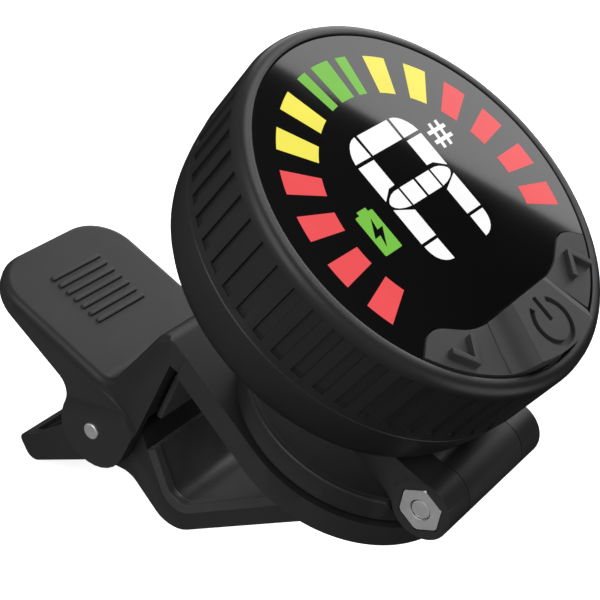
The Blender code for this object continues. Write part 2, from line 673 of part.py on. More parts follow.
def key_edge(side, gap):
    """The wavy edge between lens and keys on one side, from the rim inwards, moved by gap in mm."""
    rim = Vector((math.sin(KEY_END), -math.cos(KEY_END))) * (LENS_RADIUS / MM + 1)
    corners = offset_path(((*rim, 0), *KEY_EDGE, (0, KEY_EDGE[-1][1], 0)), gap)
    points = round_off([*corners, (0, -30, 0)])[:-2]
    return [Vector((side * p.x, p.y)) for p in points]


def display_outline():
    """A circle without the keys' area."""
    right = key_edge(1, -KEY_GAP / MM / 2)[1:]
    start = -math.pi / 2 + KEY_END + 0.006
    rim = arc(LENS_RADIUS, start, math.pi - start, 60)
    left = [Vector((-p.x, p.y)) for p in right]
    return rim + left + right[::-1]


def make_lens(head):
    mesh = slab(display_outline(), LENS_Z - LENS_THICKNESS, LENS_Z)
    mesh.transform(Matrix.Translation((0, HEAD_Y, 0)))
    return add_object("display_lens", mesh, LENS_GLASS, head)


def chord_disc(radius, chord):
    edge = math.asin(chord / radius)
    return arc(radius, edge, math.pi - edge, 48)


def make_display(head):
    for name, (low, high), look in (
        ("display_panel", PANEL, PANEL_GLASS), ("light_guide", LIGHT_GUIDE, GUIDE_ACRYLIC)
    ):
        mesh = slab(chord_disc(PANEL_RADIUS, PANEL_CHORD), low, high)
        mesh.transform(Matrix.Translation((0, HEAD_Y, 0)))
        add_object(name, mesh, look, head)


def make_electronics(head):
    board_mesh = rod((0, HEAD_Y, BOARD[0]), (0, HEAD_Y, BOARD[1]), 17.3 * MM, 48)
    board = add_object("main_board", board_mesh, BOARD_GREEN, head)
    for index, degrees in enumerate(CASE_SCREW_ANGLES, 1):
        spot = polar(CASE_SCREW_CIRCLE, degrees)
        x, y = spot.x, spot.y + HEAD_Y
        notch = rod((x, y, 0), (x, y, 20 * MM), PILLAR_RADIUS + PLAY)
        cut(board, notch, f"notch_{index}")
    half_x, half_y = BATTERY_SIZE[0] / 2, BATTERY_SIZE[1] / 2
    y = HEAD_Y + 3.5 * MM
    low, high = (-half_x, y - half_y, BATTERY[0]), (half_x, y + half_y, BATTERY[1])
    add_object("battery_cell", block(low, high), FOIL, head)
    low = (-half_x + MM, y - half_y + MM, BATTERY_PAD[0])
    high = (half_x - MM, y + half_y - MM, BATTERY_PAD[1])
    add_object("battery_pad", block(low, high), FOAM, head)
    piezo = rod((0, HEAD_Y - 2 * MM, PIEZO[0]), (0, HEAD_Y - 2 * MM, PIEZO[1]), 6 * MM, 36)
    add_object("piezo_sensor", piezo, BRASS, head)
    depth, width, height = PORT_SIZE
    mouth = 18.3 * MM
    shell = [
        (HEAD_Y + width / 2, PORT_Z - height / 2, height * 0.45),
        (HEAD_Y + width / 2, PORT_Z + height / 2, height * 0.45),
        (HEAD_Y - width / 2, PORT_Z + height / 2, height * 0.45),
        (HEAD_Y - width / 2, PORT_Z - height / 2, height * 0.45),
    ]
    port_mesh = slab(round_off(shell, 1), mouth - depth, mouth, "X")
    port = add_object("charge_port", port_mesh, STEEL, head)
    wall = 0.3 * MM
    inside = [
        (HEAD_Y + width / 2 - wall, PORT_Z - height / 2 + wall, height * 0.36),
        (HEAD_Y + width / 2 - wall, PORT_Z + height / 2 - wall, height * 0.36),
        (HEAD_Y - width / 2 + wall, PORT_Z + height / 2 - wall, height * 0.36),
        (HEAD_Y - width / 2 + wall, PORT_Z - height / 2 + wall, height * 0.36),
    ]
    cut(port, slab(round_off(inside, 1), mouth - depth + MM, mouth + MM, "X"), "mouth")
    tongue = block(
        (mouth - depth + 0.5 * MM, HEAD_Y - 3.3 * MM, PORT_Z - 0.35 * MM),
        (mouth - 0.6 * MM, HEAD_Y + 3.3 * MM, PORT_Z + 0.35 * MM),
    )
    join(port, tongue, "tongue")
    for name, (x, y) in KEY_PLACES.items():
        profile = [(0, DOME[1]), (1.0 * MM, DOME[1] - 0.1 * MM), (2.0 * MM, DOME[0] + 0.2 * MM)]
        profile += [(2.0 * MM, DOME[0]), (0, DOME[0])]
        centre = (x * MM, y * MM + HEAD_Y)
        turned(f"switch_dome_{name}", profile, DOME_STEEL, head, SMALL_SIDES, centre)


def key_blank(first, last):
    """The strip of keys, cut to the angles from first to last by two planes through the axis."""
    left = key_edge(-1, KEY_GAP / MM / 2)[1:]
    right = key_edge(1, KEY_GAP / MM / 2)[1:]
    end = KEY_END - 0.006
    rim = arc(KEY_RADIUS, end - math.pi / 2, -end - math.pi / 2, 60)
    cage = bmesh.new()
    mesh = slab(rim + left + right[::-1], KEY_BOTTOM, POWER_TOP)
    cage.from_mesh(mesh)
    for angle, way in ((first, -1), (last, 1)):
        if abs(angle) > end:
            continue
        normal = Vector((math.cos(angle), math.sin(angle), 0)) * way
        slice_off(cage, normal * -KEY_GAP / 2, normal)
    return cage


def slice_off(cage, point, normal):
    """Takes away what lies on the normal's side of a plane, and closes the cut."""
    geometry = cage.verts[:] + cage.edges[:] + cage.faces[:]
    bmesh.ops.bisect_plane(
        cage, geom=geometry, dist=1e-8, plane_co=point, plane_no=normal, clear_outer=True
    )
    rim = [edge for edge in cage.edges if edge.is_boundary]
    bmesh.ops.holes_fill(cage, edges=rim, sides=0)
    bmesh.ops.recalc_face_normals(cage, faces=cage.faces)


def make_keys(head):
    for name, first, last in (
        ("down", -KEY_END - 1, -KEY_SPLIT), ("power", -KEY_SPLIT, KEY_SPLIT), ("up", KEY_SPLIT, KEY_END + 1)
    ):
        cage = key_blank(first, last)
        if name == "power":
            reach = 14.5 * MM
            for side in (-1, 1):
                foot = Vector((side * math.sin(KEY_SPLIT), -math.cos(KEY_SPLIT), 0)) * reach
                head_line = Vector((side * math.sin(KEY_FLAT), -math.cos(KEY_FLAT), 0)) * reach
                foot.z, head_line.z = KEY_TOP, POWER_TOP
                along = (foot + head_line) / 2
                along.z = 0
                normal = (foot - head_line).cross(along) * side
                slice_off(cage, foot, normal if normal.z > 0 else -normal)
        else:
            slice_off(cage, Vector((0, 0, KEY_TOP)), Vector((0, 0, 1)))
        x, y = (v * MM for v in KEY_PLACES[name])
        bmesh.ops.translate(cage, vec=(-x, -y, 0), verts=cage.verts)
        mesh = bpy.data.meshes.new(f"button_{name}")
        cage.to_mesh(mesh)
        cage.free()
        key = add_object(f"button_{name}", mesh, KEY_RUBBER, head)
        key.location = (x, y + HEAD_Y, 0)
        stem_bottom = DOME[1] + KEY_TRAVEL + FIT
        stem = rod((0, 0, stem_bottom), (0, 0, KEY_BOTTOM + 0.3 * MM), STEM_RADIUS, HOLE_SIDES)
        stem_object = add_object(f"button_{name}_stem", stem, parent=key)
        combine(key, stem_object, "UNION")


# ---------------------------------------------------------------- assembly

make_upper_jaw()
make_upper_pad()
make_pin()
jaw_pivot = add_empty("jaw_pivot", (0, PIN_Y, PIN_Z))
make_lower_jaw(jaw_pivot)
make_lower_pad(jaw_pivot)
make_spring(jaw_pivot)
make_swivel_disc()
make_retainer()
head_hinge = add_empty("head_hinge", (0, HINGE_Y, HINGE_Z), HEAD_TILT)
make_rear_cover(head_hinge)
make_hinge_hardware(head_hinge)
make_front_casing(head_hinge)
make_case_screws(head_hinge)
make_lens(head_hinge)
make_display(head_hinge)
make_electronics(head_hinge)
make_keys(head_hinge)
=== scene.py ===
import math

import bmesh
import bpy
from mathutils import Matrix, Vector


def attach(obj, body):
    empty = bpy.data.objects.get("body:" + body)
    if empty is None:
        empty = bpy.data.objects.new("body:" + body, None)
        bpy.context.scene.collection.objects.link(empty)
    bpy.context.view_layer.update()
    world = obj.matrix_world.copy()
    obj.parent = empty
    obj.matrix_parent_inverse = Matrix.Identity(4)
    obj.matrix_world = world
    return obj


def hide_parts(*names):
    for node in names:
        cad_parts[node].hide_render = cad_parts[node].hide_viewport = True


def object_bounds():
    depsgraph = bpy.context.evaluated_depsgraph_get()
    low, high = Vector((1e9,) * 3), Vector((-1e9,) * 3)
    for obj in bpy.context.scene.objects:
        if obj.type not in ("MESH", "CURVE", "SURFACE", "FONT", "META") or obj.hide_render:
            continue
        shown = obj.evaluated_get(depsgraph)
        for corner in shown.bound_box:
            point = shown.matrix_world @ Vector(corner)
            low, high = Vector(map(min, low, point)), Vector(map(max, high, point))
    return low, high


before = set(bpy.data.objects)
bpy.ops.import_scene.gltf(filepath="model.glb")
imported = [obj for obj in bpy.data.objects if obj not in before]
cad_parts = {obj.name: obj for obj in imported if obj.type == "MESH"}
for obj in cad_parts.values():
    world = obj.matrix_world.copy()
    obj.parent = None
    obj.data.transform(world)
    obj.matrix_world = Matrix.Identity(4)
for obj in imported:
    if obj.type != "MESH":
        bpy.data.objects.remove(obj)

cad_box = [list(corner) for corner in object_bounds()]


# ---------------------------------------------------------------- bench and studio
# The tuner hangs over a pale bench with its display turned to the viewer. Of five soft boxes one shows
# in the lens, and the others light the top, the left, the far rim and the front. The room fills in.

MM = 0.001
scene = bpy.context.scene
scene.view_settings.view_transform = "Standard"

camera = bpy.data.objects.new("camera", bpy.data.cameras.new("camera"))
camera.data.lens = 91.58
camera.data.clip_start = 0.01
camera.location = Vector((-106.14, -26.90, 105.81)) * MM
camera.rotation_euler = [math.radians(turn) for turn in (46.17, -20.97, -51.41)]
scene.collection.objects.link(camera)
scene.camera = camera

world = bpy.data.worlds.new("studio")
world.use_nodes = True
tree = world.node_tree
tree.nodes["Background"].inputs["Color"].default_value = (1, 1, 1, 1)
place = tree.nodes.new("ShaderNodeTexCoord")
place.label = "Way out into the room"
place.location = (-900, 0)
side = tree.nodes.new("ShaderNodeVectorMath")
side.label = "Towards the bright wall"
side.operation = "DOT_PRODUCT"
side.location = (-700, 0)
side.inputs[1].default_value = (-0.85, 0.25, 0.45)
wall = tree.nodes.new("ShaderNodeMapRange")
wall.label = "Dim far wall, bright near one"
wall.location = (-500, 0)
wall.inputs["From Min"].default_value = -0.42
wall.inputs["From Max"].default_value = 0.65
wall.inputs["To Min"].default_value = 0.02
wall.inputs["To Max"].default_value = 0.36
seen = tree.nodes.new("ShaderNodeLightPath")
seen.label = "White where it is looked at"
seen.location = (-500, 300)
strength = tree.nodes.new("ShaderNodeMath")
strength.label = "Room light"
strength.operation = "MAXIMUM"
strength.location = (-250, 100)
tree.links.new(place.outputs["Generated"], side.inputs[0])
tree.links.new(side.outputs["Value"], wall.inputs["Value"])
tree.links.new(seen.outputs["Is Camera Ray"], strength.inputs[0])
tree.links.new(wall.outputs["Result"], strength.inputs[1])
tree.links.new(strength.outputs["Value"], tree.nodes["Background"].inputs["Strength"])
scene.world = world


def soft_box(name, place, aim, width, height, power, roll=0):
    light = bpy.data.objects.new(name, bpy.data.lights.new(name, "AREA"))
    light.data.shape = "RECTANGLE"
    light.data.size = width * MM
    light.data.size_y = height * MM
    light.data.energy = power
    light.location = Vector(place) * MM
    facing = (Vector(aim) - Vector(place)).to_track_quat("-Z", "Y").to_matrix()
    light.rotation_euler = (facing @ Matrix.Rotation(math.radians(roll), 3, "Z")).to_euler()
    scene.collection.objects.link(light)


soft_box("lens_box", (433.4, 62.9, 209.3), (0.5, 5.9, 29.8), 280, 272, 0.52, 27.5)
soft_box("overhead_box", (225, 40, 450), (0, 5, 28), 300, 240, 0.7)
soft_box("left_box", (-290, 110, 250), (0, 5, 0), 300, 300, 0.6)
soft_box("rim_box", (350, 260, 110), (0, 10, 25), 300, 240, 0.5)
soft_box("front_box", (60, -380, 60), (0, 0, 10), 300, 300, 0.36)

bench = bmesh.new()
bmesh.ops.create_grid(bench, x_segments=1, y_segments=1, size=2.5)
bmesh.ops.translate(bench, vec=(0, 0, cad_box[0][2] - 0.2 * MM), verts=bench.verts)
bench_mesh = bpy.data.meshes.new("bench")
bench.to_mesh(bench_mesh)
bench.free()
bench_top = bpy.data.objects.new("bench", bench_mesh)
scene.collection.objects.link(bench_top)
bench_top.visible_diffuse = False
bench_top.visible_glossy = False

paper = bpy.data.materials.new("pale_paper")
paper.use_nodes = True
paper.node_tree.nodes.clear()
output = paper.node_tree.nodes.new("ShaderNodeOutputMaterial")
output.label = "Bench top"
output.location = (300, 0)
shader = paper.node_tree.nodes.new("ShaderNodeBsdfPrincipled")
shader.label = "Matt paper"
shader.inputs["Base Color"].default_value = (0.93, 0.93, 0.93, 1)
shader.inputs["Roughness"].default_value = 0.9
shader.inputs["Specular IOR Level"].default_value = 0.1
shader.inputs["Emission Color"].default_value = (1, 1, 1, 1)
shader.inputs["Emission Strength"].default_value = 0.8
paper.node_tree.links.new(shader.outputs["BSDF"], output.inputs["Surface"])
bench_mesh.materials.append(paper)


# ---------------------------------------------------------------- upper jaw
# The fixed half of the clip, one moulding of black plastic: a round plate for the swivel, a ramp
# down to the thumb lever, and two cheeks that hold the pin. Underneath it is hollow.

def moulded_plastic(name, dark, light, roughness):
    """Black moulded plastic with a fine eroded grain, faint flow marks and paler worn edges."""
    material = bpy.data.materials.new(name)
    material.use_nodes = True
    tree = material.node_tree
    tree.nodes.clear()
    output = tree.nodes.new("ShaderNodeOutputMaterial")
    output.label = "Finished plastic"
    output.location = (900, 0)
    shader = tree.nodes.new("ShaderNodeBsdfPrincipled")
    shader.label = "Moulded plastic"
    shader.location = (600, 0)
    shader.inputs["IOR"].default_value = 1.47

    place = tree.nodes.new("ShaderNodeTexCoord")
    place.label = "Place on the part"
    place.location = (-900, 0)

    grain_frame = tree.nodes.new("NodeFrame")
    grain_frame.label = "Eroded grain"
    fine = tree.nodes.new("ShaderNodeTexNoise")
    fine.label = "Spark eroded grain"
    fine.location = (-600, -300)
    fine.parent = grain_frame
    fine.inputs["Scale"].default_value = 5200
    fine.inputs["Detail"].default_value = 3
    fine.inputs["Roughness"].default_value = 0.6
    bump = tree.nodes.new("ShaderNodeBump")
    bump.label = "Grain height"
    bump.location = (300, -350)
    bump.parent = grain_frame
    bump.inputs["Distance"].default_value = 0.000006
    bump.inputs["Strength"].default_value = 0.8
    tree.links.new(place.outputs["Object"], fine.inputs["Vector"])
    tree.links.new(fine.outputs["Fac"], bump.inputs["Height"])
    tree.links.new(bump.outputs["Normal"], shader.inputs["Normal"])

    tone_frame = tree.nodes.new("NodeFrame")
    tone_frame.label = "Flow marks and worn edges"
    flow = tree.nodes.new("ShaderNodeTexNoise")
    flow.label = "Flow marks"
    flow.location = (-600, 200)
    flow.parent = tone_frame
    flow.inputs["Scale"].default_value = 120
    flow.inputs["Detail"].default_value = 4
    flow.inputs["Distortion"].default_value = 0.6
    tone = tree.nodes.new("ShaderNodeValToRGB")
    tone.label = "Plastic tone"
    tone.location = (-300, 200)
    tone.parent = tone_frame
    tone.color_ramp.elements[0].position = 0.3
    tone.color_ramp.elements[0].color = (*dark, 1)
    tone.color_ramp.elements[1].position = 0.7
    tone.color_ramp.elements[1].color = (*light, 1)
    edges = tree.nodes.new("ShaderNodeNewGeometry")
    edges.label = "Edges"
    edges.location = (-600, 500)
    edges.parent = tone_frame
    worn = tree.nodes.new("ShaderNodeMapRange")
    worn.label = "Worn edges"
    worn.location = (-300, 500)
    worn.parent = tone_frame
    worn.inputs["From Min"].default_value = 0.52
    worn.inputs["From Max"].default_value = 0.62
    worn.inputs["To Max"].default_value = 0.35
    rubbed = tree.nodes.new("ShaderNodeMix")
    rubbed.label = "Rubbed paler at edges"
    rubbed.data_type = "RGBA"
    rubbed.location = (100, 300)
    rubbed.parent = tone_frame
    rubbed.inputs["B"].default_value = (light[0] * 2.2, light[1] * 2.2, light[2] * 2.2, 1)
    tree.links.new(place.outputs["Object"], flow.inputs["Vector"])
    tree.links.new(flow.outputs["Fac"], tone.inputs["Fac"])
    tree.links.new(edges.outputs["Pointiness"], worn.inputs["Value"])
    tree.links.new(worn.outputs["Result"], rubbed.inputs["Factor"])
    tree.links.new(tone.outputs["Color"], rubbed.inputs["A"])
    tree.links.new(rubbed.outputs["Result"], shader.inputs["Base Color"])

    sheen_frame = tree.nodes.new("NodeFrame")
    sheen_frame.label = "Handling shine"
    handled = tree.nodes.new("ShaderNodeTexNoise")
    handled.label = "Where fingers polish it"
    handled.location = (-600, -50)
    handled.parent = sheen_frame
    handled.inputs["Scale"].default_value = 260
    handled.inputs["Detail"].default_value = 5
    shine = tree.nodes.new("ShaderNodeMapRange")
    shine.label = "Roughness"
    shine.location = (-300, -50)
    shine.parent = sheen_frame
    shine.inputs["To Min"].default_value = roughness - 0.06
    shine.inputs["To Max"].default_value = roughness + 0.06
    tree.links.new(place.outputs["Object"], handled.inputs["Vector"])
    tree.links.new(handled.outputs["Fac"], shine.inputs["Value"])
    tree.links.new(shine.outputs["Result"], shader.inputs["Roughness"])
    tree.links.new(shader.outputs["BSDF"], output.inputs["Surface"])
    return material


def round_corners(form, corners, back, segments):
    """Rounds corners of a flat face, each cut back by so many mm."""
    bmesh.ops.bevel(
        form, geom=corners, offset=back * MM, offset_type="OFFSET", segments=segments,
        profile=0.5, affect="VERTICES", material=-1,
    )


def round_edges(form, edges, width, segments, clamp=True):
    """Rounds edges of a solid by a width in mm."""
    bmesh.ops.bevel(
        form, geom=edges, offset=width * MM, offset_type="OFFSET", segments=segments,
        profile=0.5, affect="EDGES", clamp_overlap=clamp, material=-1,
    )


def flat_shape(form, corners, normal="Z"):
    """A flat face with rounded corners, from (a, b, cut back) in mm, in X and Y or in Y and Z."""
    across = normal == "X"
    spots = [Vector((0, a, b)) if across else Vector((a, b, 0)) for a, b, _ in corners]
    verts = [form.verts.new(spot * MM) for spot in spots]
    form.faces.new(verts)
    for vert, (_, _, back) in zip(verts, corners):
        if back:
            round_corners(form, [vert], back, 7)


def thicken(form, low, high, normal="Z"):
    """Gives a flat form its thickness, from low to high in mm."""
    way = Vector((MM, 0, 0)) if normal == "X" else Vector((0, 0, MM))
    bmesh.ops.translate(form, vec=way * low, verts=form.verts)
    grown = bmesh.ops.extrude_face_region(form, geom=form.faces[:])["geom"]
    risen = [item for item in grown if isinstance(item, bmesh.types.BMVert)]
    bmesh.ops.translate(form, vec=way * (high - low), verts=risen)
    bmesh.ops.recalc_face_normals(form, faces=form.faces)


def carve(form, tool, operation="DIFFERENCE"):
    """The form after a Boolean with the tool. Both are used up."""
    holders = []
    for shape, label in ((form, "blank"), (tool, "tool")):
        mesh = bpy.data.meshes.new(label)
        shape.to_mesh(mesh)
        shape.free()
        holder = bpy.data.objects.new(label, mesh)
        scene.collection.objects.link(holder)
        holders.append(holder)
    blank, cutter = holders
    modifier = blank.modifiers.new("carve", "BOOLEAN")
    modifier.operation = operation
    modifier.solver = "EXACT"
    modifier.object = cutter
    bpy.context.view_layer.update()
    carved = bmesh.new()
    carved.from_object(blank, bpy.context.evaluated_depsgraph_get())
    for holder in holders:
        bpy.data.objects.remove(holder, do_unlink=True)
    bmesh.ops.remove_doubles(carved, verts=carved.verts, dist=1e-7)
    bmesh.ops.dissolve_degenerate(carved, edges=carved.edges, dist=1e-6)
    return carved


def soften(form, width, segments=3, steepest=34):
    """Rounds the edges that turn by more than the steepest soft angle, in degrees."""
    edges = []
    for edge in form.edges:
        if len(edge.link_faces) == 2 and edge.calc_face_angle(0) >= math.radians(steepest):
            edges.append(edge)
    round_edges(form, edges, width, segments)


def put_together(form, name, body, material, stands_for=(), place=None, smooth=32):
    """The finished form as a piece of the tuner."""
    bmesh.ops.remove_doubles(form, verts=form.verts, dist=1e-7)
    bmesh.ops.recalc_face_normals(form, faces=form.faces)
    if place:
        bmesh.ops.transform(form, matrix=place, verts=form.verts)
    mesh = bpy.data.meshes.new(name)
    form.to_mesh(mesh)
    form.free()
    mesh.shade_smooth()
    mesh.set_sharp_from_angle(angle=math.radians(smooth))
    mesh.materials.append(material)
    piece = bpy.data.objects.new(name, mesh)
    scene.collection.objects.link(piece)
    weighted = piece.modifiers.new("flat_faces_stay_flat", "WEIGHTED_NORMAL")
    weighted.keep_sharp = True
    weighted.weight = 100
    bpy.context.view_layer.update()
    shaded = piece.evaluated_get(bpy.context.evaluated_depsgraph_get())
    piece.data = bpy.data.meshes.new_from_object(shaded)
    piece.data.name = name
    piece.modifiers.clear()
    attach(piece, body)
    if stands_for:
        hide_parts(*stands_for)


def rod(form, place, radius, length, sides):
    """A round bar of a radius and a length in mm, lying along the place's own Z."""
    bmesh.ops.create_cone(
        form, cap_ends=True, segments=sides, radius1=radius * MM, radius2=radius * MM,
        depth=length * MM, matrix=place,
    )


def rod_along_x(form, start, end, y, z, radius, sides=48, turn=0.0):
    """A round bar between two places along X, in mm."""
    place = Matrix.Translation(Vector(((start + end) / 2, y, z)) * MM)
    place @= Matrix.Rotation(math.pi / 2, 4, "Y") @ Matrix.Rotation(turn, 4, "Z")
    rod(form, place, radius, end - start, sides)


clip_plastic = moulded_plastic("clip_plastic", (0.012, 0.012, 0.0125), (0.018, 0.018, 0.0185), 0.5)

PLATE_RADIUS = 13.1
CLIP_HALF_WIDTH = 9.2
SHOULDER_Y = 16.6
LEVER_END = 40.4
LEVER_TOP = -7.6
PIN_Y = 21.3
PIN_Z = -14.6
BOSS_RADIUS = 5.1
BOSS_FOOT = 5.9
DISH_DEPTH = 0.45
DISH_START = 80
DISH_SWEEP = 120

upper_jaw = bmesh.new()
flat_shape(upper_jaw, [
    (-15.0, 0.8, 0), (-15.0, 3.7, 0), (18.6, 3.7, 1.6), (21.8, -7.6, 1.5), (42.0, -7.6, 0),
    (42.0, -8.6, 0), (25.6, -11.95, 1.8), (25.6, -18.9, 4.2), (17.0, -18.9, 4.2), (16.4, 0.8, 0),
], "X")
thicken(upper_jaw, -15, 15, "X")
plan = bmesh.new()
shoulder = math.atan2(SHOULDER_Y, CLIP_HALF_WIDTH)
tangent = shoulder - math.acos(PLATE_RADIUS / math.hypot(CLIP_HALF_WIDTH, SHOULDER_Y))
first = plan.verts.new(Vector((math.cos(tangent), math.sin(tangent), 0)) * PLATE_RADIUS * MM)
bmesh.ops.spin(
    plan, geom=[first], cent=(0, 0, 0), axis=(0, 0, 1), angle=-math.pi - 2 * tangent, steps=90,
)
rim_ends = [vert for vert in plan.verts if len(vert.link_edges) == 1]
rim_ends.sort(key=lambda vert: vert.co.x)
outline = [rim_ends[0]]
for side, y in ((-1, SHOULDER_Y), (-1, LEVER_END), (1, LEVER_END), (1, SHOULDER_Y)):
    outline.append(plan.verts.new(Vector((side * CLIP_HALF_WIDTH, y, 0)) * MM))
outline.append(rim_ends[1])
for here, there in zip(outline, outline[1:]):
    plan.edges.new((here, there))
bmesh.ops.contextual_create(plan, geom=plan.edges[:])
round_corners(plan, [outline[2], outline[3]], 5, 14)
thicken(plan, -30, 10)
upper_jaw = carve(upper_jaw, plan, "INTERSECT")
lever_rim = []
for edge in upper_jaw.edges:
    spot = (edge.verts[0].co + edge.verts[1].co) / 2 / MM
    on_top = spot.y > SHOULDER_Y + 1.3 and spot.z > LEVER_TOP - 0.7
    outside = abs(spot.x) > 0.1 or spot.y > LEVER_END - 0.4
    if on_top and outside and edge.calc_face_angle(0) > math.radians(50):
        lever_rim.append(edge)
round_edges(upper_jaw, lever_rim, 0.85, 6, clamp=False)
hollow = bmesh.new()
flat_shape(hollow, [
    (10, -30, 0), (10, -8.4, 0), (17.8, -8.4, 0), (17.8, -0.6, 0), (18.4, -0.6, 0),
    (20.8, -9.2, 0), (39.0, -9.2, 0), (39.0, -30, 0),
], "X")
thicken(hollow, -7.8, 7.8, "X")
upper_jaw = carve(upper_jaw, hollow)
for bore_radius, low, high in ((3.85, -5, 9), (6.15, -5, 1.8)):
    bore = bmesh.new()
    rod(bore, Matrix.Translation((0, 0, (low + high) / 2 * MM)), bore_radius, high - low, 64)
    upper_jaw = carve(upper_jaw, bore)

# In front of the pin each cheek is dished, deepest half way round the boss, and slopes up to the boss.
for side in (-1, 1):
    hollow_cheek = bmesh.new()
    border = []
    for angle in range(DISH_START, DISH_START + DISH_SWEEP + 1, 10):
        across = BOSS_RADIUS * math.cos(math.radians(angle))
        rise = BOSS_RADIUS * math.sin(math.radians(angle))
        border.append((PIN_Y + across, PIN_Z + rise, 0))
    border += [(15.0, -16.4, 0), (15.0, 3.4, 0), (18.4, 3.4, 0), (21.9, -7.9, 0)]
    flat_shape(hollow_cheek, border, "X")
    thicken(hollow_cheek, CLIP_HALF_WIDTH - 0.5, CLIP_HALF_WIDTH + 1.3, "X")
    for vert in hollow_cheek.verts:
        if vert.co.x > CLIP_HALF_WIDTH * MM:
            continue
        across, rise = vert.co.y / MM - PIN_Y, vert.co.z / MM - PIN_Z
        out = math.hypot(across, rise)
        if out < BOSS_RADIUS + 0.1:
            turn = math.degrees(math.atan2(rise, across)) % 360 - DISH_START
            depth = DISH_DEPTH * math.sin(math.pi * max(0, turn) / DISH_SWEEP)
            vert.co.x = (CLIP_HALF_WIDTH - 0.01 - depth) * MM
            vert.co.y = (PIN_Y + across * BOSS_FOOT / out) * MM
            vert.co.z = (PIN_Z + rise * BOSS_FOOT / out) * MM
        elif vert.co.z > -10 * MM:
            vert.co.x = (CLIP_HALF_WIDTH - 0.02) * MM
    if side < 0:
        bmesh.ops.scale(hollow_cheek, vec=(-1, 1, 1), verts=hollow_cheek.verts)
    bmesh.ops.triangulate(hollow_cheek, faces=hollow_cheek.faces)
    bmesh.ops.recalc_face_normals(hollow_cheek, faces=hollow_cheek.faces)
    upper_jaw = carve(upper_jaw, hollow_cheek)
soften(upper_jaw, 0.22)
put_together(upper_jaw, "clip_upper_jaw", "clip", clip_plastic, ["upper_jaw"])


# ---------------------------------------------------------------- thumb ribs
# Seven low bars across the thumb lever that stop the thumb from slipping. They are black plastic,
# moulded with the upper jaw.

RIB_SIZE = Vector((7.4, 0.66, 0.5, 1))
FIRST_RIB_Y = 28.6
RIB_STEP = 1.15

ribs = bmesh.new()
for step in range(7):
    place = Matrix.Translation(Vector((0, FIRST_RIB_Y + RIB_STEP * step, LEVER_TOP)) * MM)
    place @= Matrix.Diagonal(RIB_SIZE)
    bmesh.ops.create_cube(ribs, size=MM, matrix=place)
soften(ribs, 0.22)
put_together(ribs, "clip_thumb_ribs", "clip", clip_plastic)


# ---------------------------------------------------------------- pivot pin
# A turned steel pin, pressed through both cheeks of the upper jaw, that the lower jaw and its spring
# turn on. Its rounded ends stand just proud of the cheeks.

def plated_steel(name, tint, roughness, scratches=900):
    """Bright plated steel with fine turning marks and a little dullness."""
    material = bpy.data.materials.new(name)
    material.use_nodes = True
    tree = material.node_tree
    tree.nodes.clear()
    output = tree.nodes.new("ShaderNodeOutputMaterial")
    output.label = "Finished steel"
    output.location = (700, 0)
    shader = tree.nodes.new("ShaderNodeBsdfPrincipled")
    shader.label = "Plated steel"
    shader.location = (400, 0)
    shader.inputs["Metallic"].default_value = 1
    place = tree.nodes.new("ShaderNodeTexCoord")
    place.label = "Place on the part"
    place.location = (-700, 0)
    marks_frame = tree.nodes.new("NodeFrame")
    marks_frame.label = "Turning marks"
    stretch = tree.nodes.new("ShaderNodeMapping")
    stretch.label = "Marks run round the bar"
    stretch.location = (-500, -200)
    stretch.parent = marks_frame
    stretch.inputs["Scale"].default_value = (8, 1, 1)
    marks = tree.nodes.new("ShaderNodeTexNoise")
    marks.label = "Fine turning marks"
    marks.location = (-300, -200)
    marks.parent = marks_frame
    marks.inputs["Scale"].default_value = scratches
    marks.inputs["Detail"].default_value = 4
    bump = tree.nodes.new("ShaderNodeBump")
    bump.label = "Depth of the marks"
    bump.location = (100, -300)
    bump.parent = marks_frame
    bump.inputs["Distance"].default_value = 0.000004
    bump.inputs["Strength"].default_value = 0.6
    dull = tree.nodes.new("ShaderNodeMapRange")
    dull.label = "Duller in places"
    dull.location = (100, -50)
    dull.parent = marks_frame
    dull.inputs["To Min"].default_value = roughness - 0.07
    dull.inputs["To Max"].default_value = roughness + 0.1
    tone = tree.nodes.new("ShaderNodeValToRGB")
    tone.label = "Plating tone"
    tone.location = (0, 200)
    tone.parent = marks_frame
    tone.color_ramp.elements[0].color = (tint[0] * 0.8, tint[1] * 0.8, tint[2] * 0.8, 1)
    tone.color_ramp.elements[1].color = (*tint, 1)
    tree.links.new(place.outputs["Object"], stretch.inputs["Vector"])
    tree.links.new(stretch.outputs["Vector"], marks.inputs["Vector"])
    tree.links.new(marks.outputs["Fac"], bump.inputs["Height"])
    tree.links.new(marks.outputs["Fac"], dull.inputs["Value"])
    tree.links.new(marks.outputs["Fac"], tone.inputs["Fac"])
    tree.links.new(bump.outputs["Normal"], shader.inputs["Normal"])
    tree.links.new(dull.outputs["Result"], shader.inputs["Roughness"])
    tree.links.new(tone.outputs["Color"], shader.inputs["Base Color"])
    tree.links.new(shader.outputs["BSDF"], output.inputs["Surface"])
    return material


bright_steel = plated_steel("bright_steel", (0.95, 0.95, 0.96), 0.42)

PIN_RADIUS = 0.95
PIN_END = CLIP_HALF_WIDTH + 0.25

pin = bmesh.new()
rod_along_x(pin, -PIN_END, PIN_END, PIN_Y, PIN_Z, PIN_RADIUS, 40)
soften(pin, 0.16, 3)
put_together(pin, "clip_pin", "clip", bright_steel, ["pivot_pin"])


# ---------------------------------------------------------------- lower jaw
# The moving half, of the same black plastic: a hooked arm that reaches under the plate, and behind the
# pin a short lever, which is a tray open on its upper side with two stiffening ribs.

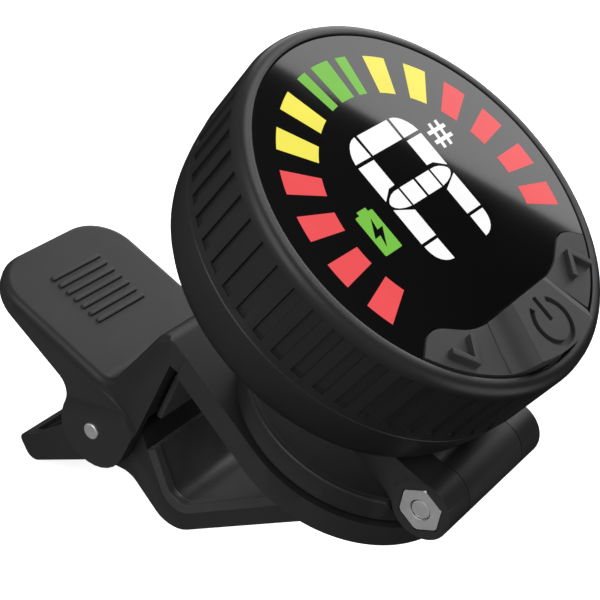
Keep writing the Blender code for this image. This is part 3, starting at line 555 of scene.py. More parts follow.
lower_jaw = bmesh.new()
flat_shape(lower_jaw, [
    (16.9, -11.2, 0.7), (9.8, -17.95, 3.0), (-2.6, -1.5, 0), (-5.0, -1.5, 0), (9.0, -19.9, 2.6),
    (16.0, -17.3, 1.0), (19.4, -18.7, 0.8), (27.6, -27.75, 1.2), (30.4, -25.75, 1.0),
    (28.4, -24.0, 0.3), (24.3, -17.6, 0), (24.9, -14.6, 0), (23.85, -12.05, 0), (21.3, -11.0, 0),
    (18.75, -11.0, 0),
], "X")
thicken(lower_jaw, -7.55, 7.55, "X")
tray = bmesh.new()
flat_shape(tray, [
    (22.7, -20.4, 0), (27.56, -25.83, 0), (31.5, -22.8, 0), (28.0, -14.0, 0), (24.4, -16.5, 0),
], "X")
thicken(tray, -6.25, 6.25, "X")
lower_jaw = carve(lower_jaw, tray)
for middle in (-4.9, 4.9):
    rib = bmesh.new()
    flat_shape(rib, [(22.3, -20.1, 0), (27.4, -26.0, 0), (28.6, -24.6, 0), (25.2, -18.0, 0)], "X")
    thicken(rib, middle - 0.3, middle + 0.3, "X")
    lower_jaw = carve(lower_jaw, rib, "UNION")
spring_bay = bmesh.new()
flat_shape(spring_bay, [
    (18.4, -5, 0), (18.4, -16, 0), (19.2, -16.5, 0), (23.2, -21, 0), (26, -21, 0), (30, -5, 0),
], "X")
thicken(spring_bay, -3.6, 3.6, "X")
lower_jaw = carve(lower_jaw, spring_bay)
pin_hole = bmesh.new()
rod_along_x(pin_hole, -10, 10, PIN_Y, PIN_Z, 1.2, 32)
lower_jaw = carve(lower_jaw, pin_hole)
soften(lower_jaw, 0.25)
put_together(lower_jaw, "clip_lower_jaw", "jaw", clip_plastic, ["lower_jaw"])


# ---------------------------------------------------------------- grip pads
# Soft black rubber liners. The upper one is bent from under the plate down the back of the mouth, and
# the lower one follows the hook and has a raised lip along its two sides.

def moulded_rubber(name, dark, light, roughness):
    """Soft rubber with a dry bloom over it and a very fine matt skin."""
    material = bpy.data.materials.new(name)
    material.use_nodes = True
    tree = material.node_tree
    tree.nodes.clear()
    output = tree.nodes.new("ShaderNodeOutputMaterial")
    output.label = "Finished rubber"
    output.location = (700, 0)
    shader = tree.nodes.new("ShaderNodeBsdfPrincipled")
    shader.label = "Soft rubber"
    shader.location = (400, 0)
    shader.inputs["Sheen Weight"].default_value = 0.12
    shader.inputs["Specular IOR Level"].default_value = 0.4
    place = tree.nodes.new("ShaderNodeTexCoord")
    place.label = "Place on the part"
    place.location = (-700, 0)
    bloom_frame = tree.nodes.new("NodeFrame")
    bloom_frame.label = "Dry bloom"
    bloom = tree.nodes.new("ShaderNodeTexNoise")
    bloom.label = "Bloom in patches"
    bloom.location = (-400, 200)
    bloom.parent = bloom_frame
    bloom.inputs["Scale"].default_value = 350
    bloom.inputs["Detail"].default_value = 6
    tone = tree.nodes.new("ShaderNodeValToRGB")
    tone.label = "Rubber tone"
    tone.location = (-100, 200)
    tone.parent = bloom_frame
    tone.color_ramp.elements[0].position = 0.35
    tone.color_ramp.elements[0].color = (*dark, 1)
    tone.color_ramp.elements[1].position = 0.68
    tone.color_ramp.elements[1].color = (*light, 1)
    dry = tree.nodes.new("ShaderNodeMapRange")
    dry.label = "Drier where it blooms"
    dry.location = (-100, -50)
    dry.parent = bloom_frame
    dry.inputs["To Min"].default_value = roughness - 0.08
    dry.inputs["To Max"].default_value = roughness + 0.08
    skin_frame = tree.nodes.new("NodeFrame")
    skin_frame.label = "Matt skin"
    skin = tree.nodes.new("ShaderNodeTexVoronoi")
    skin.label = "Pebbled skin"
    skin.location = (-400, -300)
    skin.parent = skin_frame
    skin.inputs["Scale"].default_value = 3600
    bump = tree.nodes.new("ShaderNodeBump")
    bump.label = "Skin height"
    bump.location = (100, -300)
    bump.parent = skin_frame
    bump.inputs["Distance"].default_value = 0.000008
    bump.inputs["Strength"].default_value = 0.6
    tree.links.new(place.outputs["Object"], bloom.inputs["Vector"])
    tree.links.new(place.outputs["Object"], skin.inputs["Vector"])
    tree.links.new(bloom.outputs["Fac"], tone.inputs["Fac"])
    tree.links.new(bloom.outputs["Fac"], dry.inputs["Value"])
    tree.links.new(skin.outputs["Distance"], bump.inputs["Height"])
    tree.links.new(tone.outputs["Color"], shader.inputs["Base Color"])
    tree.links.new(dry.outputs["Result"], shader.inputs["Roughness"])
    tree.links.new(bump.outputs["Normal"], shader.inputs["Normal"])
    tree.links.new(shader.outputs["BSDF"], output.inputs["Surface"])
    return material


grip_rubber = moulded_rubber("grip_rubber", (0.034, 0.034, 0.034), (0.048, 0.048, 0.049), 0.36)

upper_pad = bmesh.new()
flat_shape(upper_pad, [
    (-10.5, 0, 0.25), (15.6, 0, 1.0), (15.6, -8.2, 0.3), (16.3, -8.2, 0.3), (16.3, 0.7, 0),
    (-10.5, 0.7, 0),
], "X")
thicken(upper_pad, -7.2, 7.2, "X")
soften(upper_pad, 0.16)
put_together(upper_pad, "clip_upper_pad", "clip", grip_rubber, ["upper_pad"])


def add_part(form, part):
    """Adds a finished part to the form as it is, with no Boolean. The part is used up."""
    mesh = bpy.data.meshes.new("part")
    part.to_mesh(mesh)
    part.free()
    form.from_mesh(mesh)


# Ways in Y and Z that the pad rises: off the hook's long arm, off its short one, and in the bend.
OFF_LONG = (0.7985, 0.602)
OFF_SHORT = (-0.689, 0.725)
OFF_BEND = (0.06875, 1.4)

lower_pad = bmesh.new()
for left, right, rise in ((-7.55, -6.55, 1.2), (-6.6, 6.6, 0.8), (6.55, 7.55, 1.2)):
    strip = bmesh.new()
    flat_shape(strip, [
        (15.469, -12.702, 0), (9.80, -18.09, 3.0), (-2.38, -1.94, 0),
        (-2.38 + OFF_LONG[0] * rise, -1.94 + OFF_LONG[1] * rise, 0),
        (9.80 + OFF_BEND[0] * rise, -18.09 + OFF_BEND[1] * rise, 2.4),
        (15.47 + OFF_SHORT[0] * rise, -12.70 + OFF_SHORT[1] * rise, 0),
    ], "X")
    thicken(strip, left, right, "X")
    soften(strip, 0.14)
    add_part(lower_pad, strip)
put_together(lower_pad, "clip_lower_pad", "jaw", grip_rubber, ["lower_pad"])


# ---------------------------------------------------------------- torsion spring
# One length of drawn wire wound round the pin. Its lower leg lies on the tray's floor and its upper
# leg pushes on the underside of the thumb lever.

spring_wire = plated_steel("spring_wire", (0.5, 0.5, 0.52), 0.3, 1800)

WIRE_RADIUS = 0.4
COIL_RADIUS = 1.9
COIL_TURNS = 4
STEPS_A_TURN = 32


def wire_piece(name, body, points, node):
    """A length of the wire through these points, in mm, as a piece of the tuner."""
    curve = bpy.data.curves.new(name, "CURVE")
    curve.dimensions = "3D"
    curve.bevel_depth = WIRE_RADIUS * MM
    curve.bevel_resolution = 4
    curve.use_fill_caps = True
    spline = curve.splines.new("POLY")
    spline.points.add(len(points) - 1)
    for point, spot in zip(spline.points, points):
        point.co = (*(Vector(spot) * MM), 1)
    curve.materials.append(spring_wire)
    piece = bpy.data.objects.new(name, curve)
    scene.collection.objects.link(piece)
    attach(piece, body)
    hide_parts(node)


def round_the_pin(x, angle):
    """The place on the coil at this X and this angle about the pin."""
    return (x, PIN_Y + COIL_RADIUS * math.cos(angle), PIN_Z + COIL_RADIUS * math.sin(angle))


lower_end = math.radians(222)
coil = []
for step in range(COIL_TURNS * STEPS_A_TURN + 1):
    turn = step / STEPS_A_TURN
    coil.append(round_the_pin(turn - COIL_TURNS / 2, lower_end - 2 * math.pi * (COIL_TURNS - turn)))
coil.append(Vector(coil[-1]) + Vector((0, -math.sin(lower_end), math.cos(lower_end))) * 8)
wire_piece("clip_spring_coil", "jaw", coil, "spring_coil")
leg = []
for step in range(9):
    leg.append(round_the_pin(-3, math.radians(180 - 90 * step / 8)))
leg.append((-3, PIN_Y + 7.0, -9.7))
wire_piece("clip_spring_leg", "clip", leg, "spring_upper_leg")


# ---------------------------------------------------------------- swivel disc
# A shallow black dish that turns on the plate. A web rises from its front edge and ends in the middle
# knuckle of the hinge. A washer and a screw hold it from below, under the pad.

def turn_profile(form, profile, steps):
    """Spins a profile of (radius, z) in mm about an upright axis."""
    ring = [form.verts.new((radius * MM, 0, z * MM)) for radius, z in profile]
    loop = [form.edges.new(pair) for pair in zip(ring, ring[1:])]
    if min(radius for radius, _ in profile) > 0:
        loop.append(form.edges.new((ring[-1], ring[0])))
    bmesh.ops.spin(
        form, geom=loop + ring, cent=(0, 0, 0), axis=(0, 0, 1), angle=2 * math.pi, steps=steps,
        use_merge=True, use_duplicate=False,
    )
    bmesh.ops.remove_doubles(form, verts=form.verts, dist=1e-6)
    bmesh.ops.recalc_face_normals(form, faces=form.faces)


HINGE_Y = -11.6
HINGE_Z = 8.3
KNUCKLE_RADIUS = 3.05
KNUCKLE_END = 4.86

disc = bmesh.new()
turn_profile(disc, [
    (0, 5.05), (11.7, 5.05), (11.95, 5.3), (11.95, 6.5), (12.05, 6.6), (12.5, 6.6), (12.65, 6.45),
    (12.65, 4.15), (12.5, 3.95), (3.6, 3.95), (3.6, 1.8), (0, 1.8),
], 108)
web = bmesh.new()
flat_shape(web, [
    (-12.9, 4.1, 0), (-14.2, 6.7, 0), (-11.6, 8.3, 0), (-8.9, 6.9, 0.6), (-7.4, 5.0, 0.3),
    (-7.4, 4.1, 0),
], "X")
thicken(web, -4.84, 4.84, "X")
disc = carve(disc, web, "UNION")
knuckle = bmesh.new()
rod_along_x(knuckle, -KNUCKLE_END, KNUCKLE_END, HINGE_Y, HINGE_Z, KNUCKLE_RADIUS, 64)
disc = carve(disc, knuckle, "UNION")
for start, end in ((-9.17, -4.862), (4.862, 9.17)):
    ear_room = bmesh.new()
    rod_along_x(ear_room, start, end, HINGE_Y, HINGE_Z, KNUCKLE_RADIUS + 0.25, 64)
    disc = carve(disc, ear_room)
screw_bore = bmesh.new()
rod_along_x(screw_bore, -10, 10, HINGE_Y, HINGE_Z, 1.1, 32)
disc = carve(disc, screw_bore)
soften(disc, 0.12, 2, 40)
put_together(disc, "swivel_dish", "swivel", clip_plastic, ["swivel_disc"])


def finish_as_it_is(node, material):
    """Gives a CAD piece that is shown as it is the finish of what it is made of."""
    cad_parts[node].data.materials.clear()
    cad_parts[node].data.materials.append(material)


finish_as_it_is("swivel_retainer", spring_wire)
finish_as_it_is("swivel_screw", bright_steel)


# ---------------------------------------------------------------- hinge screw and nut
# A small steel machine screw goes through the two ears and the knuckle, from a recess on the right to
# a hex nut in a pocket on the left. They belong to the head.

HEAD_TURN = math.radians(13.2)
HINGE = Matrix.Translation(Vector((0, HINGE_Y, HINGE_Z)) * MM) @ Matrix.Rotation(HEAD_TURN, 4, "X")
HEAD = HINGE @ Matrix.Translation((0, 20.7 * MM, 0))

NUT_OUTER = -8.56
NUT_INNER = -6.97
NUT_CORNER = 2.309
NUT_TURN = math.radians(2)

nut = bmesh.new()
rod_along_x(nut, NUT_OUTER, NUT_INNER, 0, 0, NUT_CORNER, 6, NUT_TURN)
crown = bmesh.new()
rod_along_x(crown, NUT_OUTER, NUT_INNER, 0, 0, NUT_CORNER + 0.051, 48)
soften(crown, 0.16, 1)
nut = carve(nut, crown, "INTERSECT")
nut_bore = bmesh.new()
rod_along_x(nut_bore, -10, 0, 0, 0, 1.08, 40)
nut = carve(nut, nut_bore)
soften(nut, 0.07, 2, 50)
put_together(nut, "hinge_nut_bright", "head", bright_steel, ["hinge_nut"], HINGE)

screw = bmesh.new()
rod_along_x(screw, -8.5, 7.4, 0, 0, 0.98, 40)
soften(screw, 0.22, 2)
screw_head = bmesh.new()
rod_along_x(screw_head, 7.27, 8.47, 0, 0, 1.9, 56)
soften(screw_head, 0.2, 3)
socket = bmesh.new()
rod_along_x(socket, 7.6, 9.5, 0, 0, 0.9, 6)
screw_head = carve(screw_head, socket)
add_part(screw, screw_head)
put_together(screw, "hinge_screw_bright", "head", bright_steel, ["hinge_screw"], HINGE)


# ---------------------------------------------------------------- rear cover
# The back half of the head: a smooth black cup with two ears that close on the knuckle. The charging
# socket shows in its right side, and three screws in its back.

case_plastic = moulded_plastic("case_plastic", (0.012, 0.012, 0.0125), (0.018, 0.018, 0.0185), 0.4)

SCREW_CIRCLE = 16.2

cover = bmesh.new()
turn_profile(cover, [
    (0, 3.4), (17.2, 3.4), (17.9, 7.96), (19.24, 7.96), (19.3, 7.86), (19.28, 7.2), (19.17, 6.3),
    (19.05, 5.55), (18.93, 4.9), (18.78, 4.2), (18.6, 3.55), (18.38, 2.95), (18.12, 2.55),
    (17.85, 2.33), (17.5, 2.2), (0, 2.2),
], 144)
for angle in (0, math.radians(120), math.radians(240)):
    spot = Vector((SCREW_CIRCLE * math.sin(angle), SCREW_CIRCLE * math.cos(angle), 2.0))
    recess = bmesh.new()
    rod(recess, Matrix.Translation(spot * MM), 1.5, 2.2, 40)
    cover = carve(cover, recess)
port_room = bmesh.new()
flat_shape(port_room, [(-4.7, 3.35, 1.6), (-4.7, 7.05, 1.6), (4.7, 7.05, 1.6), (4.7, 3.35, 1.6)], "X")
thicken(port_room, 15, 25, "X")
cover = carve(cover, port_room)
soften(cover, 0.1, 2, 50)
put_together(cover, "head_rear_cup", "head", case_plastic, ["rear_cover"], HEAD)

for name, start, end in (("left", -8.57, -4.96), ("right", 4.96, 8.57)):
    ear = bmesh.new()
    flat_shape(ear, [
        (-1.6, 2.6, 0), (-2.75, 1.35, 0), (-3.05, 0, 0), (-2.75, -1.35, 0), (-1.9, -2.4, 0),
        (-0.8, -2.95, 0), (0.6, -3.0, 0), (2.1, -2.15, 0.6), (3.6, -1.75, 0.6), (9.6, -1.75, 0.5),
        (10.6, 2.8, 0), (6.2, 2.8, 0), (5.3, 1.7, 0.6), (1.6, 2.6, 0.5), (0, 3.05, 0),
    ], "X")
    thicken(ear, start, end, "X")
    barrel = bmesh.new()
    rod_along_x(barrel, start, end, 0, 0, KNUCKLE_RADIUS, 64)
    ear = carve(ear, barrel, "UNION")
    pocket = bmesh.new()
    if name == "left":
        rod_along_x(pocket, -10, NUT_INNER + 0.1, 0, 0, 2.42, 6, NUT_TURN)
    else:
        rod_along_x(pocket, 7.17, 10, 0, 0, 2.0, 56)
    ear = carve(ear, pocket)
    soften(ear, 0.2, 3, 40)
    put_together(ear, f"head_ear_{name}", "head", case_plastic, [], HINGE)


# ---------------------------------------------------------------- front casing
# The ring that is held to turn the head: a deep band with a slot between each pair of ribs all the way
# round, and a rolled lip in front, which the lens and the keys sit inside.

RING_STEPS = 108
BAND_MIDDLE = 12.4

casing = bmesh.new()
turn_profile(casing, [
    (18.0, 16.86), (18.04, 16.94), (18.12, 16.98), (18.5, 16.98), (18.85, 16.91), (19.14, 16.7),
    (19.36, 16.36), (19.5, 15.8), (19.45, 9.0), (19.36, 8.1), (19.28, 8.0), (18.0, 8.0), (18.0, 15.3),
    (17.1, 15.3), (17.1, 15.5), (18.0, 15.5),
], RING_STEPS)
slots = []
for face in casing.faces:
    middle = face.calc_center_median()
    on_the_band = abs(middle.z - BAND_MIDDLE * MM) < MM and middle.xy.length > 18.5 * MM
    turn = math.atan2(middle.x, middle.y) / (2 * math.pi) * RING_STEPS - 0.5
    if on_the_band and round(turn) % 2 == 0:
        slots.append(face)
bmesh.ops.inset_individual(casing, faces=slots, thickness=0.06 * MM, depth=-0.28 * MM)
slot_rims = [edge for face in slots for edge in face.edges]
round_edges(casing, list(dict.fromkeys(slot_rims)), 0.05, 2)
put_together(casing, "head_ribbed_ring", "head", case_plastic, ["front_casing"], HEAD, 28)


# ---------------------------------------------------------------- lens
# A sheet of smoked black acrylic, polished on its face and set on a narrow shelf inside the ring. Its
# lower edge is wavy, and the keys fit to it with a fine gap.

smoked_acrylic = bpy.data.materials.new("smoked_acrylic")
smoked_acrylic.use_nodes = True
tree = smoked_acrylic.node_tree
tree.nodes.clear()
output = tree.nodes.new("ShaderNodeOutputMaterial")
output.label = "Finished lens"
output.location = (700, 0)
shader = tree.nodes.new("ShaderNodeBsdfPrincipled")
shader.label = "Smoked acrylic"
shader.location = (400, 0)
shader.inputs["Base Color"].default_value = (0.0035, 0.0035, 0.0038, 1)
shader.inputs["IOR"].default_value = 1.49
shader.inputs["Coat Weight"].default_value = 0.3
shader.inputs["Coat Roughness"].default_value = 0.03
place = tree.nodes.new("ShaderNodeTexCoord")
place.label = "Place on the part"
place.location = (-500, 0)
haze_frame = tree.nodes.new("NodeFrame")
haze_frame.label = "Wiping haze"
wiped = tree.nodes.new("ShaderNodeTexNoise")
wiped.label = "Where the cloth went"
wiped.location = (-250, 0)
wiped.parent = haze_frame
wiped.inputs["Scale"].default_value = 90
wiped.inputs["Detail"].default_value = 5
haze = tree.nodes.new("ShaderNodeMapRange")
haze.label = "Polish"
haze.location = (50, 0)
haze.parent = haze_frame
haze.inputs["To Min"].default_value = 0.02
haze.inputs["To Max"].default_value = 0.07
tree.links.new(place.outputs["Object"], wiped.inputs["Vector"])
tree.links.new(wiped.outputs["Fac"], haze.inputs["Value"])
tree.links.new(haze.outputs["Result"], shader.inputs["Roughness"])
tree.links.new(shader.outputs["BSDF"], output.inputs["Surface"])


LENS_END = math.radians(53.2)
KEYS_END = math.radians(52.7)


def key_gap_outline(form, radius, gap, keys_side):
    """The face inside the radius on the lens's side, or the keys' side, of the wavy gap between them."""
    end = KEYS_END if keys_side else LENS_END
    start = end - math.pi / 2
    sweep = -2 * end if keys_side else 2 * math.pi - 2 * end
    first = form.verts.new(Vector((math.cos(start), math.sin(start), 0)) * radius * MM)
    bmesh.ops.spin(form, geom=[first], cent=(0, 0, 0), axis=(0, 0, 1), angle=sweep, steps=96)
    ends = sorted([vert for vert in form.verts if len(vert.link_edges) == 1], key=lambda vert: vert.co.x)
    wave = []
    for x, y, back in ((12.2, -9.35, 0.8), (10.7, -9.35, 0.7), (6.9, -11.6, 1.6)):
        wave.append((x, y - gap, back))
    wave = [(-x, y, back) for x, y, back in wave] + wave[::-1]
    verts = [form.verts.new(Vector((x, y, 0)) * MM) for x, y, _ in wave]
    chain = [ends[0], *verts, ends[1]]
    for here, there in zip(chain, chain[1:]):
        form.edges.new((here, there))
    bmesh.ops.contextual_create(form, geom=form.edges[:])
    for vert, (_, _, back) in zip(verts, wave):
        round_corners(form, [vert], back, 8)


lens = bmesh.new()
key_gap_outline(lens, 17.93, -0.04, False)
thicken(lens, 15.78, 16.84)
soften(lens, 0.06, 2, 50)
put_together(lens, "head_lens", "head", smoked_acrylic, ["display_lens"], HEAD, 20)


# ---------------------------------------------------------------- display marks
# What the lit display shows through the lens: a dial of green, yellow and red bars, the note in white
# segments with a sharp sign, and a charging battery. Each is a very thin film on the lens.

def lit_mark(name, colour, glow):
    """A lit mark on the display, in one colour that the backlight leaves a little uneven."""
    material = bpy.data.materials.new(name)
    material.use_nodes = True
    tree = material.node_tree
    tree.nodes.clear()
    output = tree.nodes.new("ShaderNodeOutputMaterial")
    output.label = "Mark as it shines"
    output.location = (700, 0)
    shader = tree.nodes.new("ShaderNodeBsdfPrincipled")
    shader.label = "Lit mark"
    shader.location = (400, 0)
    shader.inputs["Base Color"].default_value = (0.02, 0.02, 0.02, 1)
    shader.inputs["Roughness"].default_value = 0.12
    shader.inputs["Specular IOR Level"].default_value = 0.2
    shader.inputs["Emission Strength"].default_value = glow
    place = tree.nodes.new("ShaderNodeTexCoord")
    place.label = "Place on the part"
    place.location = (-500, 0)
    light_frame = tree.nodes.new("NodeFrame")
    light_frame.label = "Light from behind"
    uneven = tree.nodes.new("ShaderNodeTexNoise")
    uneven.label = "Uneven backlight"
    uneven.location = (-250, 0)
    uneven.parent = light_frame
    uneven.inputs["Scale"].default_value = 220
    uneven.inputs["Detail"].default_value = 2
    tone = tree.nodes.new("ShaderNodeValToRGB")
    tone.label = "Lit colour"
    tone.location = (50, 0)
    tone.parent = light_frame
    tone.color_ramp.elements[0].position = 0.25
    tone.color_ramp.elements[0].color = (colour[0] * 0.93, colour[1] * 0.93, colour[2] * 0.93, 1)
    tone.color_ramp.elements[1].position = 0.75
    tone.color_ramp.elements[1].color = (*colour, 1)
    tree.links.new(place.outputs["Object"], uneven.inputs["Vector"])
    tree.links.new(uneven.outputs["Fac"], tone.inputs["Fac"])
    tree.links.new(tone.outputs["Color"], shader.inputs["Emission Color"])
    tree.links.new(shader.outputs["BSDF"], output.inputs["Surface"])
    return material


green = lit_mark("lit_green", (0.19, 0.56, 0.055), 0.98)
yellow = lit_mark("lit_yellow", (0.97, 0.87, 0.1), 0.98)
red = lit_mark("lit_red", (0.91, 0.08, 0.09), 0.98)
white = lit_mark("lit_white", (1, 1, 1), 1.0)

MARK_LOW = 16.83
MARK_HIGH = 16.85
DIAL_CENTRE = Vector((0, -0.34, 0)) * MM
DIAL_INNER = 11.74
DIAL_OUTER = 15.9


def dial_bar(form, first, last):
    """One bar of the dial, between two angles clockwise from the top."""
    from_angle = math.radians(90 - first)
    way = Vector((math.cos(from_angle), math.sin(from_angle), 0)) * MM
    ends = [form.verts.new(DIAL_CENTRE + way * radius) for radius in (DIAL_INNER, DIAL_OUTER)]
    edge = form.edges.new(ends)
    bmesh.ops.spin(
        form, geom=[edge], cent=DIAL_CENTRE, axis=(0, 0, 1), angle=math.radians(first - last), steps=8,
    )


def dial(name, material, spans):
    """The bars of one colour, and their mirror images on the left."""
    form = bmesh.new()
    for first, last in spans:
        dial_bar(form, first, last)
        if first > 0:
            dial_bar(form, -last, -first)
    thicken(form, MARK_LOW, MARK_HIGH)
    put_together(form, name, "head", material, [], HEAD)


dial("mark_green_bars", green, [(-4.5, 4.5), (8.4, 13.4)])
dial("mark_yellow_bars", yellow, [(21.3, 30.4), (38.5, 47.5)])
dial("mark_red_bars", red, [(55.4, 64.1), (72.0, 80.8), (89.1, 97.9), (105.6, 115.0)])


def film(form, corners):
    """A flat face with its corners at (x, y), in mm."""
    form.faces.new([form.verts.new(Vector((x, y, 0)) * MM) for x, y in corners])


note = bmesh.new()
for mirror in (-1, 1):
    for corners in (
        [
            (2.78, 8.1), (3.3, 8.0), (3.8, 7.77), (4.23, 7.42), (4.6, 6.98), (4.88, 6.5), (5.07, 5.86),
            (2.7, 5.86),
        ],
        [(2.7, 5.49), (5.09, 5.49), (5.08, 1.77), (3.65, 2.62), (2.7, 2.66)],
        [
            (2.65, 2.2), (3.35, 2.19), (3.95, 2.06), (4.5, 1.8), (4.84, 1.5), (4.88, 1.22), (4.65, 0.92),
            (4.21, 0.66), (3.5, 0.44), (2.65, 0.32),
        ],
        [(0.17, 2.22), (2.37, 2.22), (2.37, 0.3), (0.17, 0.3)],
        [(2.7, -0.13), (5.03, 0.81), (5.03, -2.97), (2.7, -2.97)],
        [
            (2.8, -3.28), (4.95, -3.28), (4.92, -3.75), (4.8, -4.2), (4.58, -4.62), (4.25, -4.98),
            (3.82, -5.26), (3.3, -5.45), (2.75, -5.53),
        ],
    ):
        film(note, [(mirror * x, y) for x, y in corners])
film(note, [(-2.37, 8.1), (2.37, 8.1), (2.37, 5.86), (-2.37, 5.86)])
for x in (6.75, 7.8):
    film(note, [(x - 0.39, 3.18), (x + 0.03, 3.18), (x + 0.39, 5.88), (x - 0.03, 5.88)])
for y in (4.0, 5.06):
    film(note, [(5.85, y - 0.2), (8.7, y - 0.2), (8.7, y + 0.2), (5.85, y + 0.2)])
bmesh.ops.recalc_face_normals(note, faces=note.faces)
thicken(note, MARK_LOW, MARK_HIGH)
put_together(note, "mark_note", "head", white, [], HEAD)

battery_mark = bmesh.new()
flat_shape(battery_mark, [
    (-9.66, -2.15, 0.15), (-7.14, -2.15, 0.15), (-7.14, 1.92, 0.15), (-7.72, 1.92, 0), (-7.72, 2.3, 0),
    (-9.02, 2.3, 0), (-9.02, 1.92, 0), (-9.66, 1.92, 0.15),
])
thicken(battery_mark, MARK_LOW, MARK_HIGH)
put_together(battery_mark, "mark_battery", "head", green, [], HEAD)
bolt = bmesh.new()
flat_shape(bolt, [
    (-8.05, 1.3, 0), (-9.3, -0.45, 0), (-8.5, -0.4, 0), (-8.8, -1.55, 0), (-7.5, 0.2, 0), (-8.3, 0.15, 0),
])
thicken(bolt, MARK_HIGH - 0.01, MARK_HIGH + 0.012)
put_together(bolt, "mark_charging_bolt", "head", smoked_acrylic, [], HEAD)


# ---------------------------------------------------------------- keys
# Three keys of grey-black silicone: down, power and up. The power key stands above the other two on
# two ramps, the left one hollowed along its length, and has the power sign sunk into it. The side
# keys carry a raised arrow.

key_rubber = moulded_rubber("key_rubber", (0.024, 0.024, 0.025), (0.034, 0.034, 0.035), 0.5)

SPLIT = math.radians(24)
CREST = math.radians(14.3)
RAMP_RADIUS = 14.5
GROOVE_RADIUS = 3.18
GROOVE_RISE = 2.83
KEY_FOOT = 16.0
KEY_TOP = 17.0
POWER_TOP = 18.5
SIGN_CENTRE = Vector((0, -15.0, 0)) * MM


def slice_off(form, point, normal):
    """Takes away what lies beyond a plane, and closes the cut."""
    bmesh.ops.bisect_plane(
        form, geom=form.verts[:] + form.edges[:] + form.faces[:], dist=1e-8, plane_co=point,
        plane_no=normal, clear_outer=True,
    )
    bmesh.ops.holes_fill(form, edges=[edge for edge in form.edges if edge.is_boundary], sides=0)
    bmesh.ops.recalc_face_normals(form, faces=form.faces)


def key_shape(first, last, top):
    """The part of the keys' place between two splits. None is the end of the row."""
    form = bmesh.new()
    key_gap_outline(form, 17.72, 0.06, True)
    thicken(form, KEY_FOOT, top)
    for angle, way in ((first, -1), (last, 1)):
        if angle is not None:
            normal = Vector((math.cos(angle), math.sin(angle), 0)) * way
            slice_off(form, normal * -0.04 * MM, normal)
    return form


def arrow(form, x, tip, arm):
    """A raised chevron with its corner at the tip's height and its two arms ending at arm's height."""
    thick = 0.5 if tip > arm else -0.5
    shape = bmesh.new()
    flat_shape(shape, [
        (x - 1.85, arm, 0), (x, tip, 0), (x + 1.85, arm, 0), (x + 1.4, arm - thick, 0),
        (x, tip - 1.75 * thick, 0), (x - 1.4, arm - thick, 0),
    ])
    thicken(shape, KEY_TOP - 0.3, KEY_TOP + 0.6)
    soften(shape, 0.12, 2)
    add_part(form, shape)


for name, first, last, x, tip, arm in (
    ("down", None, -SPLIT, -9.9, -14.1, -11.9), ("up", SPLIT, None, 9.9, -10.8, -13.0)
):
    key = key_shape(first, last, KEY_TOP)
    soften(key, 0.16, 3, 40)
    arrow(key, x, tip, arm)
    put_together(key, f"key_{name}_cap", f"key_{name}", key_rubber, [f"button_{name}"], HEAD)

power = key_shape(-SPLIT, SPLIT, POWER_TOP)
for side in (-1, 1):
    foot = Vector((side * math.sin(SPLIT), -math.cos(SPLIT), 0)) * RAMP_RADIUS * MM
    crest = Vector((side * math.sin(CREST), -math.cos(CREST), 0)) * RAMP_RADIUS * MM
    foot.z, crest.z = KEY_TOP * MM, POWER_TOP * MM
    along = (foot + crest) / 2
    along.z = 0
    normal = (foot - crest).cross(along)
    up = normal.normalized() if normal.z > 0 else -normal.normalized()
    slice_off(power, foot, up)
    if side < 0:
        lie = Matrix.Translation((foot + crest) / 2 + up * GROOVE_RISE * MM)
        lie @= along.to_track_quat("Z", "X").to_matrix().to_4x4()
        groove = bmesh.new()
        rod(groove, lie, GROOVE_RADIUS, 16, 96)
        power = carve(power, groove)
soften(power, 0.16, 3, 18)
sign = bmesh.new()
ring = [sign.verts.new(SIGN_CENTRE + Vector((0, radius, 0)) * MM) for radius in (1.9, 2.48)]
ring_edge = sign.edges.new(ring)
bmesh.ops.rotate(
    sign, verts=ring, cent=SIGN_CENTRE, matrix=Matrix.Rotation(math.radians(32), 3, "Z")
)
bmesh.ops.spin(
    sign, geom=[ring_edge], cent=SIGN_CENTRE, axis=(0, 0, 1), angle=math.radians(296), steps=48,
)
thicken(sign, POWER_TOP - 0.4, POWER_TOP + 0.5)
power = carve(power, sign)
stroke = bmesh.new()
flat_shape(stroke, [(-0.28, -14.9, 0.15), (0.28, -14.9, 0.15), (0.28, -12.4, 0.15), (-0.28, -12.4, 0.15)])
thicken(stroke, POWER_TOP - 0.4, POWER_TOP + 0.5)
power = carve(power, stroke)
put_together(power, "key_power_cap", "key_power", key_rubber, ["button_power"], HEAD)


# ---------------------------------------------------------------- inside the head
# Board, cell, display and the small parts fixed to them keep their CAD shapes; each gets the finish of
# what it is made of.

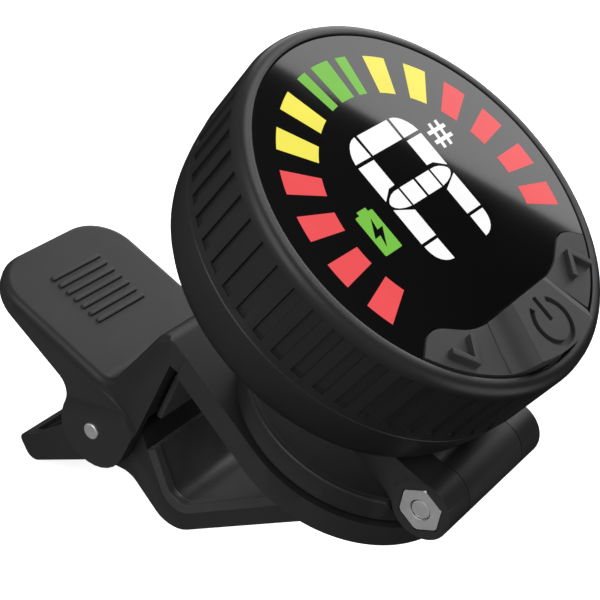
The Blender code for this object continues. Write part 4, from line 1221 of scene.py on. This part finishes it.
def speckled(name, dark, light, roughness, metallic, scale):
    """A made surface with two tones in a fine pattern, for the parts inside the head."""
    material = bpy.data.materials.new(name)
    material.use_nodes = True
    tree = material.node_tree
    tree.nodes.clear()
    output = tree.nodes.new("ShaderNodeOutputMaterial")
    output.label = "Finished surface"
    output.location = (700, 0)
    shader = tree.nodes.new("ShaderNodeBsdfPrincipled")
    shader.label = "Surface"
    shader.location = (400, 0)
    shader.inputs["Metallic"].default_value = metallic
    place = tree.nodes.new("ShaderNodeTexCoord")
    place.label = "Place on the part"
    place.location = (-500, 0)
    speckle_frame = tree.nodes.new("NodeFrame")
    speckle_frame.label = "Two-tone speckle"
    speckle = tree.nodes.new("ShaderNodeTexNoise")
    speckle.label = "Speckle"
    speckle.location = (-250, 0)
    speckle.parent = speckle_frame
    speckle.inputs["Scale"].default_value = scale
    speckle.inputs["Detail"].default_value = 4
    tone = tree.nodes.new("ShaderNodeValToRGB")
    tone.label = "Two tones"
    tone.location = (50, 100)
    tone.parent = speckle_frame
    tone.color_ramp.elements[0].position = 0.4
    tone.color_ramp.elements[0].color = (*dark, 1)
    tone.color_ramp.elements[1].position = 0.6
    tone.color_ramp.elements[1].color = (*light, 1)
    rough = tree.nodes.new("ShaderNodeMapRange")
    rough.label = "Rougher in places"
    rough.location = (50, -150)
    rough.parent = speckle_frame
    rough.inputs["To Min"].default_value = roughness - 0.08
    rough.inputs["To Max"].default_value = roughness + 0.08
    tree.links.new(place.outputs["Object"], speckle.inputs["Vector"])
    tree.links.new(speckle.outputs["Fac"], tone.inputs["Fac"])
    tree.links.new(speckle.outputs["Fac"], rough.inputs["Value"])
    tree.links.new(tone.outputs["Color"], shader.inputs["Base Color"])
    tree.links.new(rough.outputs["Result"], shader.inputs["Roughness"])
    tree.links.new(shader.outputs["BSDF"], output.inputs["Surface"])
    return material


inside_finishes = {
    "main_board": speckled("solder_mask", (0.006, 0.09, 0.03), (0.012, 0.15, 0.05), 0.35, 0, 600),
    "battery_cell": speckled("cell_foil", (0.5, 0.5, 0.52), (0.66, 0.66, 0.68), 0.35, 0.9, 300),
    "battery_pad": speckled("grey_foam", (0.14, 0.14, 0.14), (0.24, 0.24, 0.24), 0.85, 0, 2500),
    "light_guide": speckled("milky_acrylic", (0.82, 0.82, 0.82), (0.92, 0.92, 0.92), 0.2, 0, 200),
    "display_panel": speckled("display_stack", (0.02, 0.024, 0.024), (0.05, 0.055, 0.055), 0.15, 0, 200),
    "piezo_sensor": speckled("sensor_brass", (0.6, 0.42, 0.16), (0.75, 0.55, 0.24), 0.3, 1, 400),
    "charge_port": bright_steel,
    "switch_dome_down": bright_steel,
    "switch_dome_power": bright_steel,
    "switch_dome_up": bright_steel,
    "case_screw_1": bright_steel,
    "case_screw_2": bright_steel,
    "case_screw_3": bright_steel,
}
for node, material in inside_finishes.items():
    finish_as_it_is(node, material)
